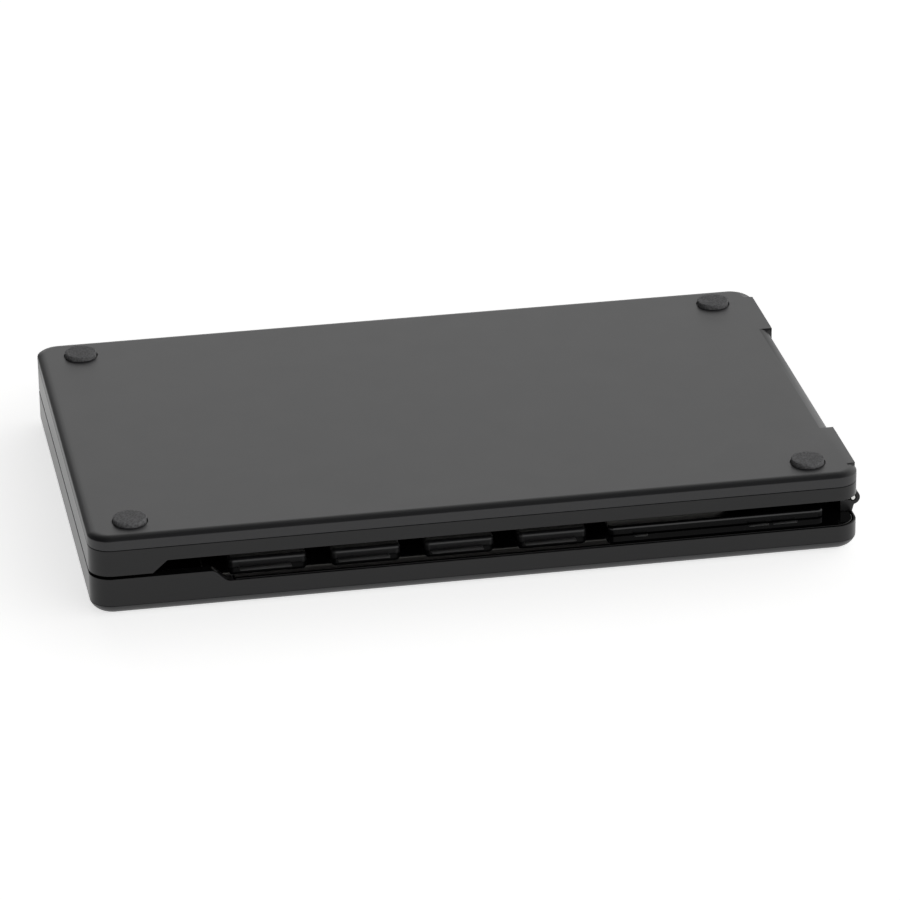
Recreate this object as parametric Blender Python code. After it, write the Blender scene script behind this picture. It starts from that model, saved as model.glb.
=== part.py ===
"""Folding pocket gram scale, closed, lying on its control half with its foot pads up.

The control half (keys, display, coin cells) rests on z = 0. The weighing half (load cell,
platform, foot pads) is hinged to it along the short side at +X and opens through 180 degrees.
Metres, +Z up, front (the side with the keys) towards -Y, origin under the middle of the object.
"""

import math

import bmesh
import bpy

# Driving dimensions of the closed scale
LENGTH = 0.1500
WIDTH = 0.0983
CORNER = 0.0046
WALL = 0.0024
SPLIT_GAP = 0.00015
HALF_GAP = 0.0006
CORNER_STEPS = 6

# Heights, from the underside up
CONTROL_ROLL_RADIUS = 0.0030
CONTROL_ROLL_SWEEP = math.radians(72)
CONTROL_SPLIT = CONTROL_ROLL_RADIUS * (1 - math.cos(CONTROL_ROLL_SWEEP))
COVER_FLOOR = 0.0012
LEDGE_WIDTH = 0.0020
LEDGE_TOP = 0.0042
PLATE_BOTTOM = 0.00437
PLATE_TOP = 0.00537
PARTING = 0.00803
CONTROL_RIM = PARTING - HALF_GAP / 2
BASE_RIM = PARTING + HALF_GAP / 2
DECK_BOTTOM = 0.0108
DECK_TOP = 0.0120
BASE_SPLIT = 0.01365
BASE_CEILING = 0.01515
BASE_TOP = 0.0163
BASE_ROLL_RADIUS = 0.0028
BASE_ROLL_SWEEP = math.radians(43)
ROLL_STEPS = 4

# Hinge along the short side at +X
HINGE_X = 0.15015
HINGE_Z = PARTING
BARREL_RADIUS = 0.00143
BARREL_CLEARANCE = 0.00175
PIN_RADIUS = 0.00052
BORE_RADIUS = 0.00066
BLOCK_START = 0.0054
BLOCK_END = 0.0230
BLOCK_RECESS = 0.0009
LUG_START = 0.0070
LUG_WIDTH = 0.0015
BARREL_START = 0.0087
BARREL_END = 0.0212
LUG_ROOT_X = 0.1474
AXLE_SIDES = 16

# Window in the front edge, over the keys and the display
WINDOW_CORNER_X = 0.1410
WINDOW_END_Y = 0.00685
CONTROL_SLOPE_START = 0.02295
CONTROL_SLOPE_END = 0.0266
BASE_SLOPE_START = 0.01185
BASE_SLOPE_END = 0.0147
LIP = 0.00045
TONGUE_START = 0.0276
TONGUE_GAP = 0.0003

# Keys and display
KEY_RIGHTS = (0.04225, 0.0605, 0.07875, 0.0970)
KEY_WIDTHS = (0.0153, 0.0136, 0.0136, 0.0136)
KEY_FRONT = 0.00585
KEY_DEPTH = 0.0080
KEY_TOP = 0.00712
KEY_CORNER = 0.0011
KEY_ROUND = 0.0008
KEY_GAP = 0.0002
KEY_FLANGE = 0.0006
KEY_FLANGE_BOTTOM = 0.00345
KEY_FLANGE_TOP = 0.00415
SWITCH_TOP = 0.0029
BEZEL = ((0.1009, 0.0048), (0.1439, 0.0268))
BEZEL_BOTTOM = 0.0055
BEZEL_TOP = 0.0072
BEZEL_RIM = 0.0030
LENS_BOTTOM = 0.0059
LENS_TOP = 0.0068
LENS_GAP = 0.0002
LCD = ((0.1039, 0.0108), (0.1409, 0.0246))
LCD_BOTTOM = 0.0044
LCD_TOP = 0.0055
BACKLIGHT_BOTTOM = 0.0026
BACKLIGHT_TOP = 0.0042
PCB = ((0.0220, 0.0049), (0.1380, 0.0480))
PCB_BOTTOM = 0.00135
PCB_TOP = 0.00215
CHIP = ((0.0700, 0.0280, PCB_TOP + 0.0001), (0.0800, 0.0380, 0.0034))
SOCKET = ((0.1300, 0.0400, PCB_TOP + 0.0001), (0.1350, 0.0460, 0.0041))

# Coin cells and their turn caps in the underside
CELL_CENTRES = ((0.0520, 0.0640), (0.0800, 0.0640))
CELL_RADIUS = 0.0100
CELL_BOTTOM = 0.00125
CELL_TOP = 0.00375
CAP_RADIUS = 0.0115
CAP_GAP = 0.0003
CAP_BOTTOM = 0.0001
CAP_FACE = 0.0011
CAP_LUG_REACH = 0.0013
HOLDER = ((0.0370, 0.0495, 0.00200), (0.0950, 0.0785, 0.00370))
CONTACT_STRIP = ((0.0420, 0.0620, 0.00385), (0.0900, 0.0660, 0.00415))

# Foot pads, screws, load cell and platform
PAD_X = (0.00863, 0.14106)
PAD_Y = (0.00740, WIDTH - 0.00740)
PAD_RADIUS = 0.003225
PAD_SEAT = 0.0005
PAD_TOP = BASE_TOP + 0.0009
SCREW_SIDES = 10
ROUND_SIDES = 24
BOSS_RADIUS = 0.0027
LOAD_CELL = ((0.0520, 0.0437), (0.0980, 0.0547))
LOAD_CELL_BOTTOM = 0.01085
LOAD_CELL_TOP = 0.01465
LOAD_CELL_FIXED = (0.0555, 0.0615)
LOAD_CELL_FREE = (0.0885, 0.0945)
LOAD_CELL_HOLE = 0.0013
FLEXURE_OFFSET = 0.0050
SHIM = ((0.0525, 0.0440, 0.01475), (0.0645, 0.0544, 0.01510))
GAUGE_COVER = ((0.0690, 0.0460, LOAD_CELL_TOP + 0.0001), (0.0810, 0.0524, LOAD_CELL_TOP + 0.0003))
MIDDLE_Y = WIDTH / 2
PAN = ((0.0230, 0.0110), (0.1270, 0.0873))
PAN_BOTTOM = 0.0086
PAN_PLATE = 0.0006
PAN_SKIRT_TOP = 0.0099
PAN_SKIRT = 0.0005
CARRIER_BOTTOM = 0.00945
CARRIER_TOP = 0.01025

# Leads between the halves: each runs onto the hinge axis from its own side of LEAD_Y
LEAD_Y = 0.0735
LEAD_RADIUS = 0.0006
LEAD_SLOT_HALF = 0.0028
LEAD_SLOT_BOTTOM = 0.0025
LEAD_SLOT_DEPTH = 0.0030
BASE_LEAD_ROUTE = (
    (HINGE_X, LEAD_Y - 0.00015, HINGE_Z),
    (HINGE_X, LEAD_Y - 0.0008, HINGE_Z + 0.0001),
    (0.1500, LEAD_Y - 0.0014, 0.0089),
    (0.1493, LEAD_Y - 0.0016, 0.0102),
    (0.1478, LEAD_Y - 0.0016, 0.0118),
    (0.1450, LEAD_Y - 0.0017, 0.0130),
    (0.1330, LEAD_Y - 0.0045, 0.0131),
    (0.1170, LEAD_Y - 0.0145, 0.0131),
    (0.1060, 0.0530, 0.0131),
    (0.0990, MIDDLE_Y, 0.0131),
)
CONTROL_LEAD_ROUTE = (
    (HINGE_X, LEAD_Y + 0.00015, HINGE_Z),
    (HINGE_X, LEAD_Y + 0.0008, HINGE_Z - 0.0001),
    (0.1500, LEAD_Y + 0.0014, 0.0072),
    (0.1496, LEAD_Y + 0.0016, 0.0059),
    (0.1487, LEAD_Y + 0.0016, 0.0042),
    (0.1470, LEAD_Y + 0.0016, 0.0033),
    (0.1450, LEAD_Y + 0.0012, 0.0032),
    (0.1420, LEAD_Y - 0.0030, 0.0032),
    (0.1400, 0.0560, 0.0032),
    (0.1380, 0.0480, 0.0032),
    (0.1355, 0.0430, 0.0032),
)

# The object's middle, which the finished parts are moved back by
CENTRE_X = (HINGE_X + BARREL_RADIUS) / 2
CENTRE_Y = WIDTH / 2

SATIN_BLACK = (0.030, 0.030, 0.031, 1.0)
GLOSS_BLACK = (0.008, 0.008, 0.009, 1.0)
FOAM_BLACK = (0.022, 0.022, 0.022, 1.0)
STEEL = (0.62, 0.61, 0.59, 1.0)
ALUMINIUM = (0.72, 0.73, 0.74, 1.0)
BOARD_GREEN = (0.02, 0.11, 0.05, 1.0)
GLASS_GREY = (0.35, 0.38, 0.34, 1.0)
CLEAR = (0.75, 0.78, 0.80, 1.0)
WHITE_PLASTIC = (0.75, 0.75, 0.72, 1.0)


def clear_scene():
    for item in list(bpy.data.objects):
        bpy.data.objects.remove(item, do_unlink=True)


def new_collection(name):
    collection = bpy.data.collections.new(name)
    bpy.context.scene.collection.children.link(collection)
    return collection


def paint(item, colour, roughness, metallic=0.0):
    """Give an object its own Principled material."""
    material = bpy.data.materials.new(item.name + "_finish")
    material.use_nodes = True
    shader = material.node_tree.nodes["Principled BSDF"]
    shader.inputs["Base Color"].default_value = colour
    shader.inputs["Roughness"].default_value = roughness
    shader.inputs["Metallic"].default_value = metallic
    item.data.materials.append(material)
    return item


def place(bm, name, collection):
    """Make an object of a closed bmesh, with its faces pointing out."""
    bmesh.ops.recalc_face_normals(bm, faces=bm.faces)
    bmesh.ops.triangulate(bm, faces=[face for face in bm.faces if len(face.verts) > 4])
    mesh = bpy.data.meshes.new(name)
    bm.to_mesh(mesh)
    bm.free()
    mesh.shade_smooth()
    mesh.set_sharp_from_angle(angle=math.radians(30))
    item = bpy.data.objects.new(name, mesh)
    collection.objects.link(item)
    return item


def arc(centre, radius, start, end, steps=CORNER_STEPS):
    """Points along an arc, angles in degrees, both ends included."""
    turns = [math.radians(start + (end - start) * i / steps) for i in range(steps + 1)]
    return [(centre[0] + radius * math.cos(t), centre[1] + radius * math.sin(t)) for t in turns]


def rounded_rectangle(low, high, radius, steps=CORNER_STEPS):
    """Outline of a rectangle with round corners, counter-clockwise."""
    left, right = low[0] + radius, high[0] - radius
    front, back = low[1] + radius, high[1] - radius
    corners = (((left, front), 180), ((right, front), 270), ((right, back), 0), ((left, back), 90))
    return [point for centre, start in corners for point in arc(centre, radius, start, start + 90, steps)]


def case_outline(inset):
    """The case's plan outline, moved in by inset."""
    return rounded_rectangle((inset, inset), (LENGTH - inset, WIDTH - inset), CORNER - inset)


def block_outline(inset, block_inset):
    """The case's plan outline with its hinge side set back between the two hinge blocks."""
    radius = CORNER - inset
    start, end = BLOCK_START + block_inset / 4, BLOCK_END - block_inset / 4
    front, back = CORNER, WIDTH - CORNER
    side, block, foot = LENGTH - BLOCK_RECESS - inset, LENGTH - block_inset, LENGTH - inset - 0.00002
    points = arc((CORNER, front), radius, 180, 270)
    points += arc((LENGTH - CORNER, front), radius, 270, 360)
    points += [(foot, start), (block, start), (block, end), (side, end)]
    points += [(side, WIDTH - end), (block, WIDTH - end), (block, WIDTH - start), (foot, WIDTH - start)]
    points += arc((LENGTH - CORNER, back), radius, 0, 90)
    points += arc((CORNER, back), radius, 90, 180)
    return points


def loft(name, collection, rings, closed=False):
    """A solid through rings, each an outline and its height; closed joins the last to the first."""
    bm = bmesh.new()
    loops = [[bm.verts.new((x, y, z)) for x, y in outline] for outline, z in rings]
    following = loops[1:] + loops[:1] if closed else loops[1:]
    for lower, upper in zip(loops, following):
        for i, vertex in enumerate(lower):
            bm.faces.new((lower[i - 1], vertex, upper[i], upper[i - 1]))
    if not closed:
        bm.faces.new(loops[0])
        bm.faces.new(loops[-1])
    return place(bm, name, collection)


def prism(name, collection, outline, bottom, top):
    return loft(name, collection, [(outline, bottom), (outline, top)])


def box(name, collection, low, high, radius=0.0, steps=4):
    """An upright box between two corners, with round upright edges if radius is given."""
    if radius:
        outline = rounded_rectangle(low, high, radius, steps)
        return prism(name, collection, outline, low[2], high[2])
    bm = bmesh.new()
    bmesh.ops.create_cube(bm, size=1.0)
    for vertex in bm.verts:
        vertex.co = [low[i] + (vertex.co[i] + 0.5) * (high[i] - low[i]) for i in range(3)]
    return place(bm, name, collection)


def profile_prism(name, collection, profile, front, back):
    """A profile in X and Z, carried along Y from front to back."""
    bm = bmesh.new()
    face = bm.faces.new([bm.verts.new((x, front, z)) for x, z in profile])
    carried = bmesh.ops.extrude_face_region(bm, geom=[face])
    for vertex in (item for item in carried["geom"] if isinstance(item, bmesh.types.BMVert)):
        vertex.co.y = back
    return place(bm, name, collection)


def turned(name, collection, profile, sides, centre=(0.0, 0.0)):
    """A solid turned about an upright axis: profile is radius and height, from the bottom up."""
    rings = []
    for radius, z in profile:
        rings.append((arc(centre, radius, 0, 360 * (sides - 1) / sides, sides - 1), z))
    return loft(name, collection, rings)


def axle(name, collection, radius, front, back, sides=AXLE_SIDES):
    """A cylinder along the hinge axis."""
    outline = arc((HINGE_X, HINGE_Z), radius, 0, 360 * (sides - 1) / sides, sides - 1)
    return profile_prism(name, collection, outline, front, back)


def combine(item, tool, operation):
    """Add a Boolean modifier and put its tool out of sight."""
    modifier = item.modifiers.new(tool.name, "BOOLEAN")
    modifier.operation = operation
    modifier.solver = "EXACT"
    modifier.object = tool
    tool.hide_render = True
    tool.display_type = "WIRE"


def cut(item, tool):
    combine(item, tool, "DIFFERENCE")


def join(item, tool):
    combine(item, tool, "UNION")


def both_ends(front, back):
    """The stretch from front to back along Y, and the same stretch at the other end of the hinge."""
    return (("front", front, back), ("back", WIDTH - back, WIDTH - front))


def roll_rings(outline_at, radius, sweep, flat, direction):
    """Rings of a rolled edge, from its crease to the flat face at height flat."""
    rings = []
    for i in range(ROLL_STEPS + 1):
        turn = sweep * (1 - i / ROLL_STEPS)
        inset = radius * (math.sin(sweep) - math.sin(turn))
        rings.append((outline_at(inset), flat - direction * radius * (1 - math.cos(turn))))
    return rings


def control_cover(parts, tools):
    """Underside of the control half: a shallow dish with a rolled edge and two battery openings."""
    rings = [(case_outline(WALL), COVER_FLOOR), (case_outline(WALL), CONTROL_SPLIT)]
    rings += roll_rings(case_outline, CONTROL_ROLL_RADIUS, CONTROL_ROLL_SWEEP, 0.0, -1)
    item = loft("control_cover", parts, rings)
    for number, centre in enumerate(CELL_CENTRES, 1):
        opening = [(CAP_RADIUS + CAP_GAP, -0.001), (CAP_RADIUS + CAP_GAP, 0.003)]
        cut(item, turned(f"battery_opening_{number}", tools, opening, ROUND_SIDES, centre))
        reach = CAP_RADIUS + CAP_LUG_REACH + CAP_GAP
        low = (centre[0] - 0.0022, centre[1] - reach, -0.001)
        high = (centre[0] + 0.0022, centre[1] + reach, 0.003)
        cut(item, box(f"battery_lug_slot_{number}", tools, low, high))
    for number, (x, y) in enumerate(screw_places(), 1):
        sink = [(0.0024, -0.0006), (0.0024, 0.0002), (0.0013, 0.0013), (0.0013, 0.0030)]
        cut(item, turned(f"control_cover_hole_{number}", tools, sink, SCREW_SIDES, (x, y)))
    return paint(item, SATIN_BLACK, 0.45)


def slope(start, end, high, low):
    """A smooth S-shaped run down from height high at start to height low at end."""
    steps = 8
    run = []
    for i in range(steps + 1):
        share = i / steps
        run.append((start + (end - start) * share, low + (high - low) * (1 + math.cos(math.pi * share)) / 2))
    return run


def control_frame(parts, tools):
    """Walls of the control half, with a ledge for the face plate and the four hinge lugs."""
    bottom = CONTROL_SPLIT + SPLIT_GAP
    ledge = WALL + LEDGE_WIDTH
    heights = ((0.0, bottom), (0.0, CONTROL_RIM), (WALL, CONTROL_RIM), (WALL, LEDGE_TOP))
    heights += ((ledge, LEDGE_TOP), (ledge, bottom))
    item = loft("control_frame", parts, [(case_outline(inset), z) for inset, z in heights], closed=True)

    above = CONTROL_RIM + 0.001
    window = slope(CONTROL_SLOPE_START, CONTROL_SLOPE_END, CONTROL_RIM, PLATE_TOP)
    window += [(WINDOW_CORNER_X + 0.001, PLATE_TOP), (WINDOW_CORNER_X + 0.001, above)]
    window += [(CONTROL_SLOPE_START - 0.001, above), (CONTROL_SLOPE_START - 0.001, CONTROL_RIM)]
    cut(item, profile_prism("control_window", tools, window, -0.001, WALL + 0.0001))
    low, high = (WINDOW_CORNER_X, -0.001, PLATE_TOP), (LENGTH + 0.002, WINDOW_END_Y, above)
    cut(item, box("control_window_corner", tools, low, high))
    pocket = [(TONGUE_START - TONGUE_GAP, LIP)]
    pocket += arc((LENGTH - CORNER, CORNER), CORNER - LIP, 270, 360)
    pocket += [(LENGTH - LIP, WINDOW_END_Y), (LENGTH - CORNER, WINDOW_END_Y)]
    pocket += [(LENGTH - CORNER, WALL + 0.0010)]
    pocket += [(TONGUE_START - TONGUE_GAP, WALL + 0.0010)]
    cut(item, prism("tongue_pocket", tools, pocket, LEDGE_TOP - 0.0001, above + 0.001))

    for end, front, back in both_ends(BARREL_START - 0.0002, BARREL_END + 0.0002):
        cut(item, axle(f"barrel_room_{end}", tools, BARREL_CLEARANCE, front, back))
    for place_name, start in (("outer", LUG_START), ("inner", BARREL_END + 0.0002)):
        for end, front, back in both_ends(start, start + LUG_WIDTH):
            join(item, hinge_lug(f"lug_{end}_{place_name}", tools, front, back))
    for end, front, back in both_ends(LUG_START - 0.001, BARREL_END + LUG_WIDTH + 0.001):
        cut(item, axle(f"control_bore_{end}", tools, BORE_RADIUS, front, back, 12))

    for number, (x, y) in enumerate(screw_places(), 1):
        inward_x, inward_y = math.copysign(1, CENTRE_X - x), math.copysign(1, CENTRE_Y - y)
        web = sorted((x + 0.0004 * inward_x, x - 0.0056 * inward_x)), sorted((y, y - 0.0044 * inward_y))
        low = (web[0][0], web[1][0], bottom + 0.0001)
        high = (web[0][1], web[1][1], LEDGE_TOP - 0.0002)
        join(item, box(f"control_web_{number}", tools, low, high))
        boss = [(BOSS_RADIUS, COVER_FLOOR + 0.0002), (BOSS_RADIUS, LEDGE_TOP - 0.0001)]
        join(item, turned(f"control_boss_{number}", tools, boss, SCREW_SIDES, (x, y)))
        hole = [(0.0012, COVER_FLOOR - 0.001), (0.0012, 0.0037)]
        cut(item, turned(f"control_boss_hole_{number}", tools, hole, SCREW_SIDES, (x, y)))
    low = (LENGTH - WALL - LEAD_SLOT_DEPTH, LEAD_Y - LEAD_SLOT_HALF, LEAD_SLOT_BOTTOM)
    high = (LENGTH + 0.001, LEAD_Y + LEAD_SLOT_HALF, CONTROL_RIM + 0.001)
    cut(item, box("control_lead_slot", tools, low, high))
    return paint(item, SATIN_BLACK, 0.45)


def hinge_lug(name, tools, front, back):
    """A lug that stands on the control half's wall and holds the hinge pin."""
    profile = [(LUG_ROOT_X, PLATE_TOP - 0.0005), (LENGTH - 0.0002, PLATE_TOP - 0.0005)]
    profile += arc((HINGE_X, HINGE_Z), BARREL_RADIUS, -80, 150, 12)
    return profile_prism(name, tools, profile, front, back)


def face_plate(parts, tools):
    """Glossy plate of the control half, with a tongue that runs out into the window."""
    inset = WALL + TONGUE_GAP
    reach = LIP + TONGUE_GAP
    end = WINDOW_END_Y - TONGUE_GAP
    points = arc((CORNER, CORNER), CORNER - inset, 180, 270)
    points += [(TONGUE_START, inset), (TONGUE_START, reach)]
    points += arc((LENGTH - CORNER, CORNER), CORNER - reach, 270, 360)
    points += [(LENGTH - reach, end), (LENGTH - inset, end)]
    points += arc((LENGTH - CORNER, WIDTH - CORNER), CORNER - inset, 0, 90)
    points += arc((CORNER, WIDTH - CORNER), CORNER - inset, 90, 180)
    item = prism("face_plate", parts, points, PLATE_BOTTOM, PLATE_TOP)
    for number, (low, high) in enumerate(key_boxes(), 1):
        low = (low[0] - KEY_GAP, low[1] - KEY_GAP, PLATE_BOTTOM - 0.001)
        high = (high[0] + KEY_GAP, high[1] + KEY_GAP, PLATE_TOP + 0.001)
        cut(item, box(f"key_opening_{number}", tools, low, high, KEY_CORNER + KEY_GAP))
    low = (LCD[0][0] - 0.0003, LCD[0][1] - 0.0003, PLATE_BOTTOM - 0.001)
    high = (LCD[1][0] + 0.0003, LCD[1][1] + 0.0003, PLATE_TOP + 0.001)
    cut(item, box("lcd_opening", tools, low, high))
    return paint(item, GLOSS_BLACK, 0.12)


def key_boxes():
    """Lowest and highest plan corner of each key."""
    boxes = []
    for right, width in zip(KEY_RIGHTS, KEY_WIDTHS):
        boxes.append(((right - width, KEY_FRONT), (right, KEY_FRONT + KEY_DEPTH)))
    return boxes


def keys(parts):
    """Four keys, each with a round top edge and a flange that holds it under the face plate."""
    for number, (low, high) in enumerate(key_boxes(), 1):
        def ring(grow, z):
            corners = (low[0] - grow, low[1] - grow), (high[0] + grow, high[1] + grow)
            return rounded_rectangle(*corners, KEY_CORNER + grow, 4), z

        rings = [ring(KEY_FLANGE, KEY_FLANGE_BOTTOM), ring(KEY_FLANGE, KEY_FLANGE_TOP), ring(0.0, KEY_FLANGE_TOP)]
        for i in range(5):
            turn = math.pi / 2 * i / 4
            rings.append(ring(-KEY_ROUND * (1 - math.cos(turn)), KEY_TOP - KEY_ROUND * (1 - math.sin(turn))))
        paint(loft(f"key_{number}", parts, rings), SATIN_BLACK, 0.40)


def display(parts, tools):
    """Raised bezel, clear lens, liquid crystal glass and backlight, from the top down."""
    (left, front), (right, back) = BEZEL

    def ring(inset, z):
        corners = (left + inset, front + inset), (right - inset, back - inset)
        return rounded_rectangle(*corners, 0.0014 - min(inset, 0.0006), 4), z

    round_edge = 0.0006
    rings = [ring(0.0, BEZEL_BOTTOM), ring(0.0, BEZEL_TOP - round_edge)]
    for i in range(1, 5):
        turn = math.pi / 2 * i / 4
        rings.append(ring(round_edge * (1 - math.cos(turn)), BEZEL_TOP - round_edge * (1 - math.sin(turn))))
    bezel = loft("display_bezel", parts, rings)
    opening = (left + BEZEL_RIM, front + BEZEL_RIM + 0.0010), (right - BEZEL_RIM, back - BEZEL_RIM)
    low, high = (*opening[0], BEZEL_BOTTOM - 0.001), (*opening[1], BEZEL_TOP + 0.001)
    cut(bezel, box("bezel_opening", tools, low, high, 0.0008))
    paint(bezel, SATIN_BLACK, 0.35)

    low = (opening[0][0] + LENS_GAP, opening[0][1] + LENS_GAP, LENS_BOTTOM)
    high = (opening[1][0] - LENS_GAP, opening[1][1] - LENS_GAP, LENS_TOP)
    paint(box("display_lens", parts, low, high, 0.0006), CLEAR, 0.05)
    paint(box("lcd_glass", parts, (*LCD[0], LCD_BOTTOM), (*LCD[1], LCD_TOP)), GLASS_GREY, 0.10)
    low, high = (*LCD[0], BACKLIGHT_BOTTOM), (*LCD[1], BACKLIGHT_TOP)
    paint(box("backlight_panel", parts, low, high), WHITE_PLASTIC, 0.40)


def circuit(parts):
    """Circuit board, the dome switches under the keys, the controller chip and the lead's socket."""
    board = box("main_board", parts, (*PCB[0], PCB_BOTTOM), (*PCB[1], PCB_TOP), 0.0015)
    paint(board, BOARD_GREEN, 0.40)
    for number, (low, high) in enumerate(key_boxes(), 1):
        x, y = (low[0] + high[0]) / 2, (low[1] + high[1]) / 2
        bottom = PCB_TOP + 0.0001
        profile = [(0.0026, bottom), (0.0026, bottom + 0.0003), (0.0015, SWITCH_TOP), (0.0006, SWITCH_TOP)]
        paint(turned(f"dome_switch_{number}", parts, profile, 12, (x, y)), STEEL, 0.30, 1.0)
    paint(box("controller_chip", parts, *CHIP), GLOSS_BLACK, 0.50)
    paint(box("lead_socket", parts, *SOCKET), WHITE_PLASTIC, 0.45)


def battery_group(parts, tools):
    """Holder, two coin cells, their contact strip and the two turn caps with coin slots."""
    holder = box("battery_holder", parts, *HOLDER, 0.0030)
    for number, centre in enumerate(CELL_CENTRES, 1):
        bore = [(CELL_RADIUS + 0.0003, 0.001), (CELL_RADIUS + 0.0003, 0.006)]
        cut(holder, turned(f"cell_bore_{number}", tools, bore, ROUND_SIDES, centre))
        cell = [(CELL_RADIUS - 0.0003, CELL_BOTTOM), (CELL_RADIUS, CELL_BOTTOM + 0.0003)]
        cell += [(CELL_RADIUS, CELL_TOP - 0.0006), (CELL_RADIUS - 0.0009, CELL_TOP)]
        paint(turned(f"coin_cell_{number}", parts, cell, ROUND_SIDES, centre), STEEL, 0.25, 1.0)
        battery_cap(number, centre, parts, tools)
    paint(holder, SATIN_BLACK, 0.50)
    paint(box("battery_contact_strip", parts, *CONTACT_STRIP, 0.0008), STEEL, 0.30, 1.0)


def battery_cap(number, centre, parts, tools):
    """A turn cap: its disc fills the opening and two lugs hold it behind the cover."""
    inner = CELL_RADIUS + 0.0003
    outer = CAP_RADIUS - 0.0002
    profile = [(CAP_RADIUS, CAP_BOTTOM), (CAP_RADIUS, CAP_FACE), (outer, CAP_FACE), (outer, 0.0018)]
    profile += [(inner, 0.0018), (inner, CAP_FACE + 0.00001)]
    cap = turned(f"battery_cap_{number}", parts, profile, ROUND_SIDES)
    reach = CAP_RADIUS + CAP_LUG_REACH
    for side in (-1, 1):
        lug = box(f"cap_lug_{number}_{side}", tools, (-reach, -0.0016, 0.0014), (-inner - 0.0003, 0.0016, 0.0018))
        lug.rotation_euler.z = math.pi * (side + 1) / 2
        lug.location = (*centre, 0.0)
        join(cap, lug)
    slot = box(f"coin_slot_{number}", tools, (-0.0065, -0.0009, -0.001), (0.0065, 0.0009, 0.0006), 0.0006)
    slot.location = (*centre, 0.0)
    cut(cap, slot)
    cap.location = (*centre, 0.0)
    paint(cap, SATIN_BLACK, 0.50)


def base_frame(parts, tools):
    """Walls of the weighing half with its deck, hinge barrels and the window over the keys."""
    rings = [(block_outline(WALL, WALL), DECK_BOTTOM), (block_outline(WALL, WALL), BASE_RIM)]
    rings += [(block_outline(0.0, 0.0), BASE_RIM), (block_outline(0.0, 0.0), BASE_SPLIT - SPLIT_GAP)]
    rings += [(block_outline(WALL, WALL), BASE_SPLIT - SPLIT_GAP), (block_outline(WALL, WALL), DECK_TOP)]
    item = loft("base_frame", parts, rings)

    below = BASE_RIM - 0.001
    window = [(BASE_SLOPE_START, BASE_RIM), (BASE_SLOPE_END, DECK_BOTTOM)]
    window += [(WINDOW_CORNER_X + 0.001, DECK_BOTTOM), (WINDOW_CORNER_X + 0.001, below), (BASE_SLOPE_START, below)]
    cut(item, profile_prism("base_window", tools, window, -0.001, WALL + 0.0001))
    low, high = (WINDOW_CORNER_X, -0.001, below), (LENGTH + 0.002, WINDOW_END_Y, DECK_BOTTOM)
    cut(item, box("base_window_corner", tools, low, high))

    for end, front, back in both_ends(BARREL_START, BARREL_END):
        join(item, axle(f"barrel_{end}", tools, BARREL_RADIUS, front, back))
        cut(item, axle(f"base_bore_{end}", tools, BORE_RADIUS, front - 0.001, back + 0.001, 12))
    for place_name, start in (("outer", LUG_START), ("inner", BARREL_END + 0.0002)):
        for end, front, back in both_ends(start - 0.0002, start + LUG_WIDTH + 0.0002):
            outer_x, top = LENGTH + 0.002, HINGE_Z + BARREL_CLEARANCE
            low = (LUG_ROOT_X - 0.0003, front, below)
            room = box(f"lug_room_{end}_{place_name}", tools, low, (outer_x, back, top))
            cut(item, room)

    low = (LOAD_CELL[0][0] - 0.0020, LOAD_CELL[0][1] - 0.0020, 0.009)
    high = (LOAD_CELL[1][0] + 0.0020, LOAD_CELL[1][1] + 0.0020, 0.013)
    cut(item, box("load_cell_opening", tools, low, high, 0.0015))
    for number, (x, y) in enumerate(screw_places(), 1):
        boss = [(BOSS_RADIUS, DECK_TOP - 0.0005), (BOSS_RADIUS, BASE_SPLIT - SPLIT_GAP)]
        join(item, turned(f"base_boss_{number}", tools, boss, SCREW_SIDES, (x, y)))
        hole = [(0.0012, DECK_BOTTOM + 0.0003), (0.0012, BASE_SPLIT + 0.001)]
        cut(item, turned(f"base_boss_hole_{number}", tools, hole, SCREW_SIDES, (x, y)))
    low = (LENGTH - WALL - LEAD_SLOT_DEPTH, LEAD_Y - LEAD_SLOT_HALF, BASE_RIM - 0.001)
    high = (LENGTH + 0.001, LEAD_Y + LEAD_SLOT_HALF, BASE_SPLIT + 0.001)
    cut(item, box("base_lead_slot", tools, low, high))
    return paint(item, SATIN_BLACK, 0.45)


def base_cover(parts, tools):
    """Foot side of the weighing half: a dish whose rolled edge stops at the two hinge blocks."""
    def outline_at(inset):
        return block_outline(inset, 0.0)

    rings = [(block_outline(WALL, WALL), BASE_CEILING), (block_outline(WALL, WALL), BASE_SPLIT)]
    rings.append((outline_at(0.0), BASE_SPLIT))
    rings += roll_rings(outline_at, BASE_ROLL_RADIUS, BASE_ROLL_SWEEP, BASE_TOP, 1)
    item = loft("base_cover", parts, rings)
    for number, (x, y) in enumerate(screw_places(), 1):
        boss = [(0.0034, BASE_SPLIT), (0.0034, BASE_CEILING + 0.0004)]
        join(item, turned(f"cover_boss_{number}", tools, boss, SCREW_SIDES, (x, y)))
        seat = BASE_TOP - PAD_SEAT
        well = [(0.0013, BASE_SPLIT - 0.001), (0.0013, 0.0143), (0.0026, 0.0143), (0.0026, seat)]
        well += [(PAD_RADIUS + 0.0002, seat), (PAD_RADIUS + 0.0002, BASE_TOP + 0.001)]
        cut(item, turned(f"pad_seat_{number}", tools, well, ROUND_SIDES, (x, y)))
    return paint(item, SATIN_BLACK, 0.45)


def screw_places():
    """Plan places of the four corner screws, which are also those of the foot pads."""
    return [(x, y) for x in PAD_X for y in PAD_Y]


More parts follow.
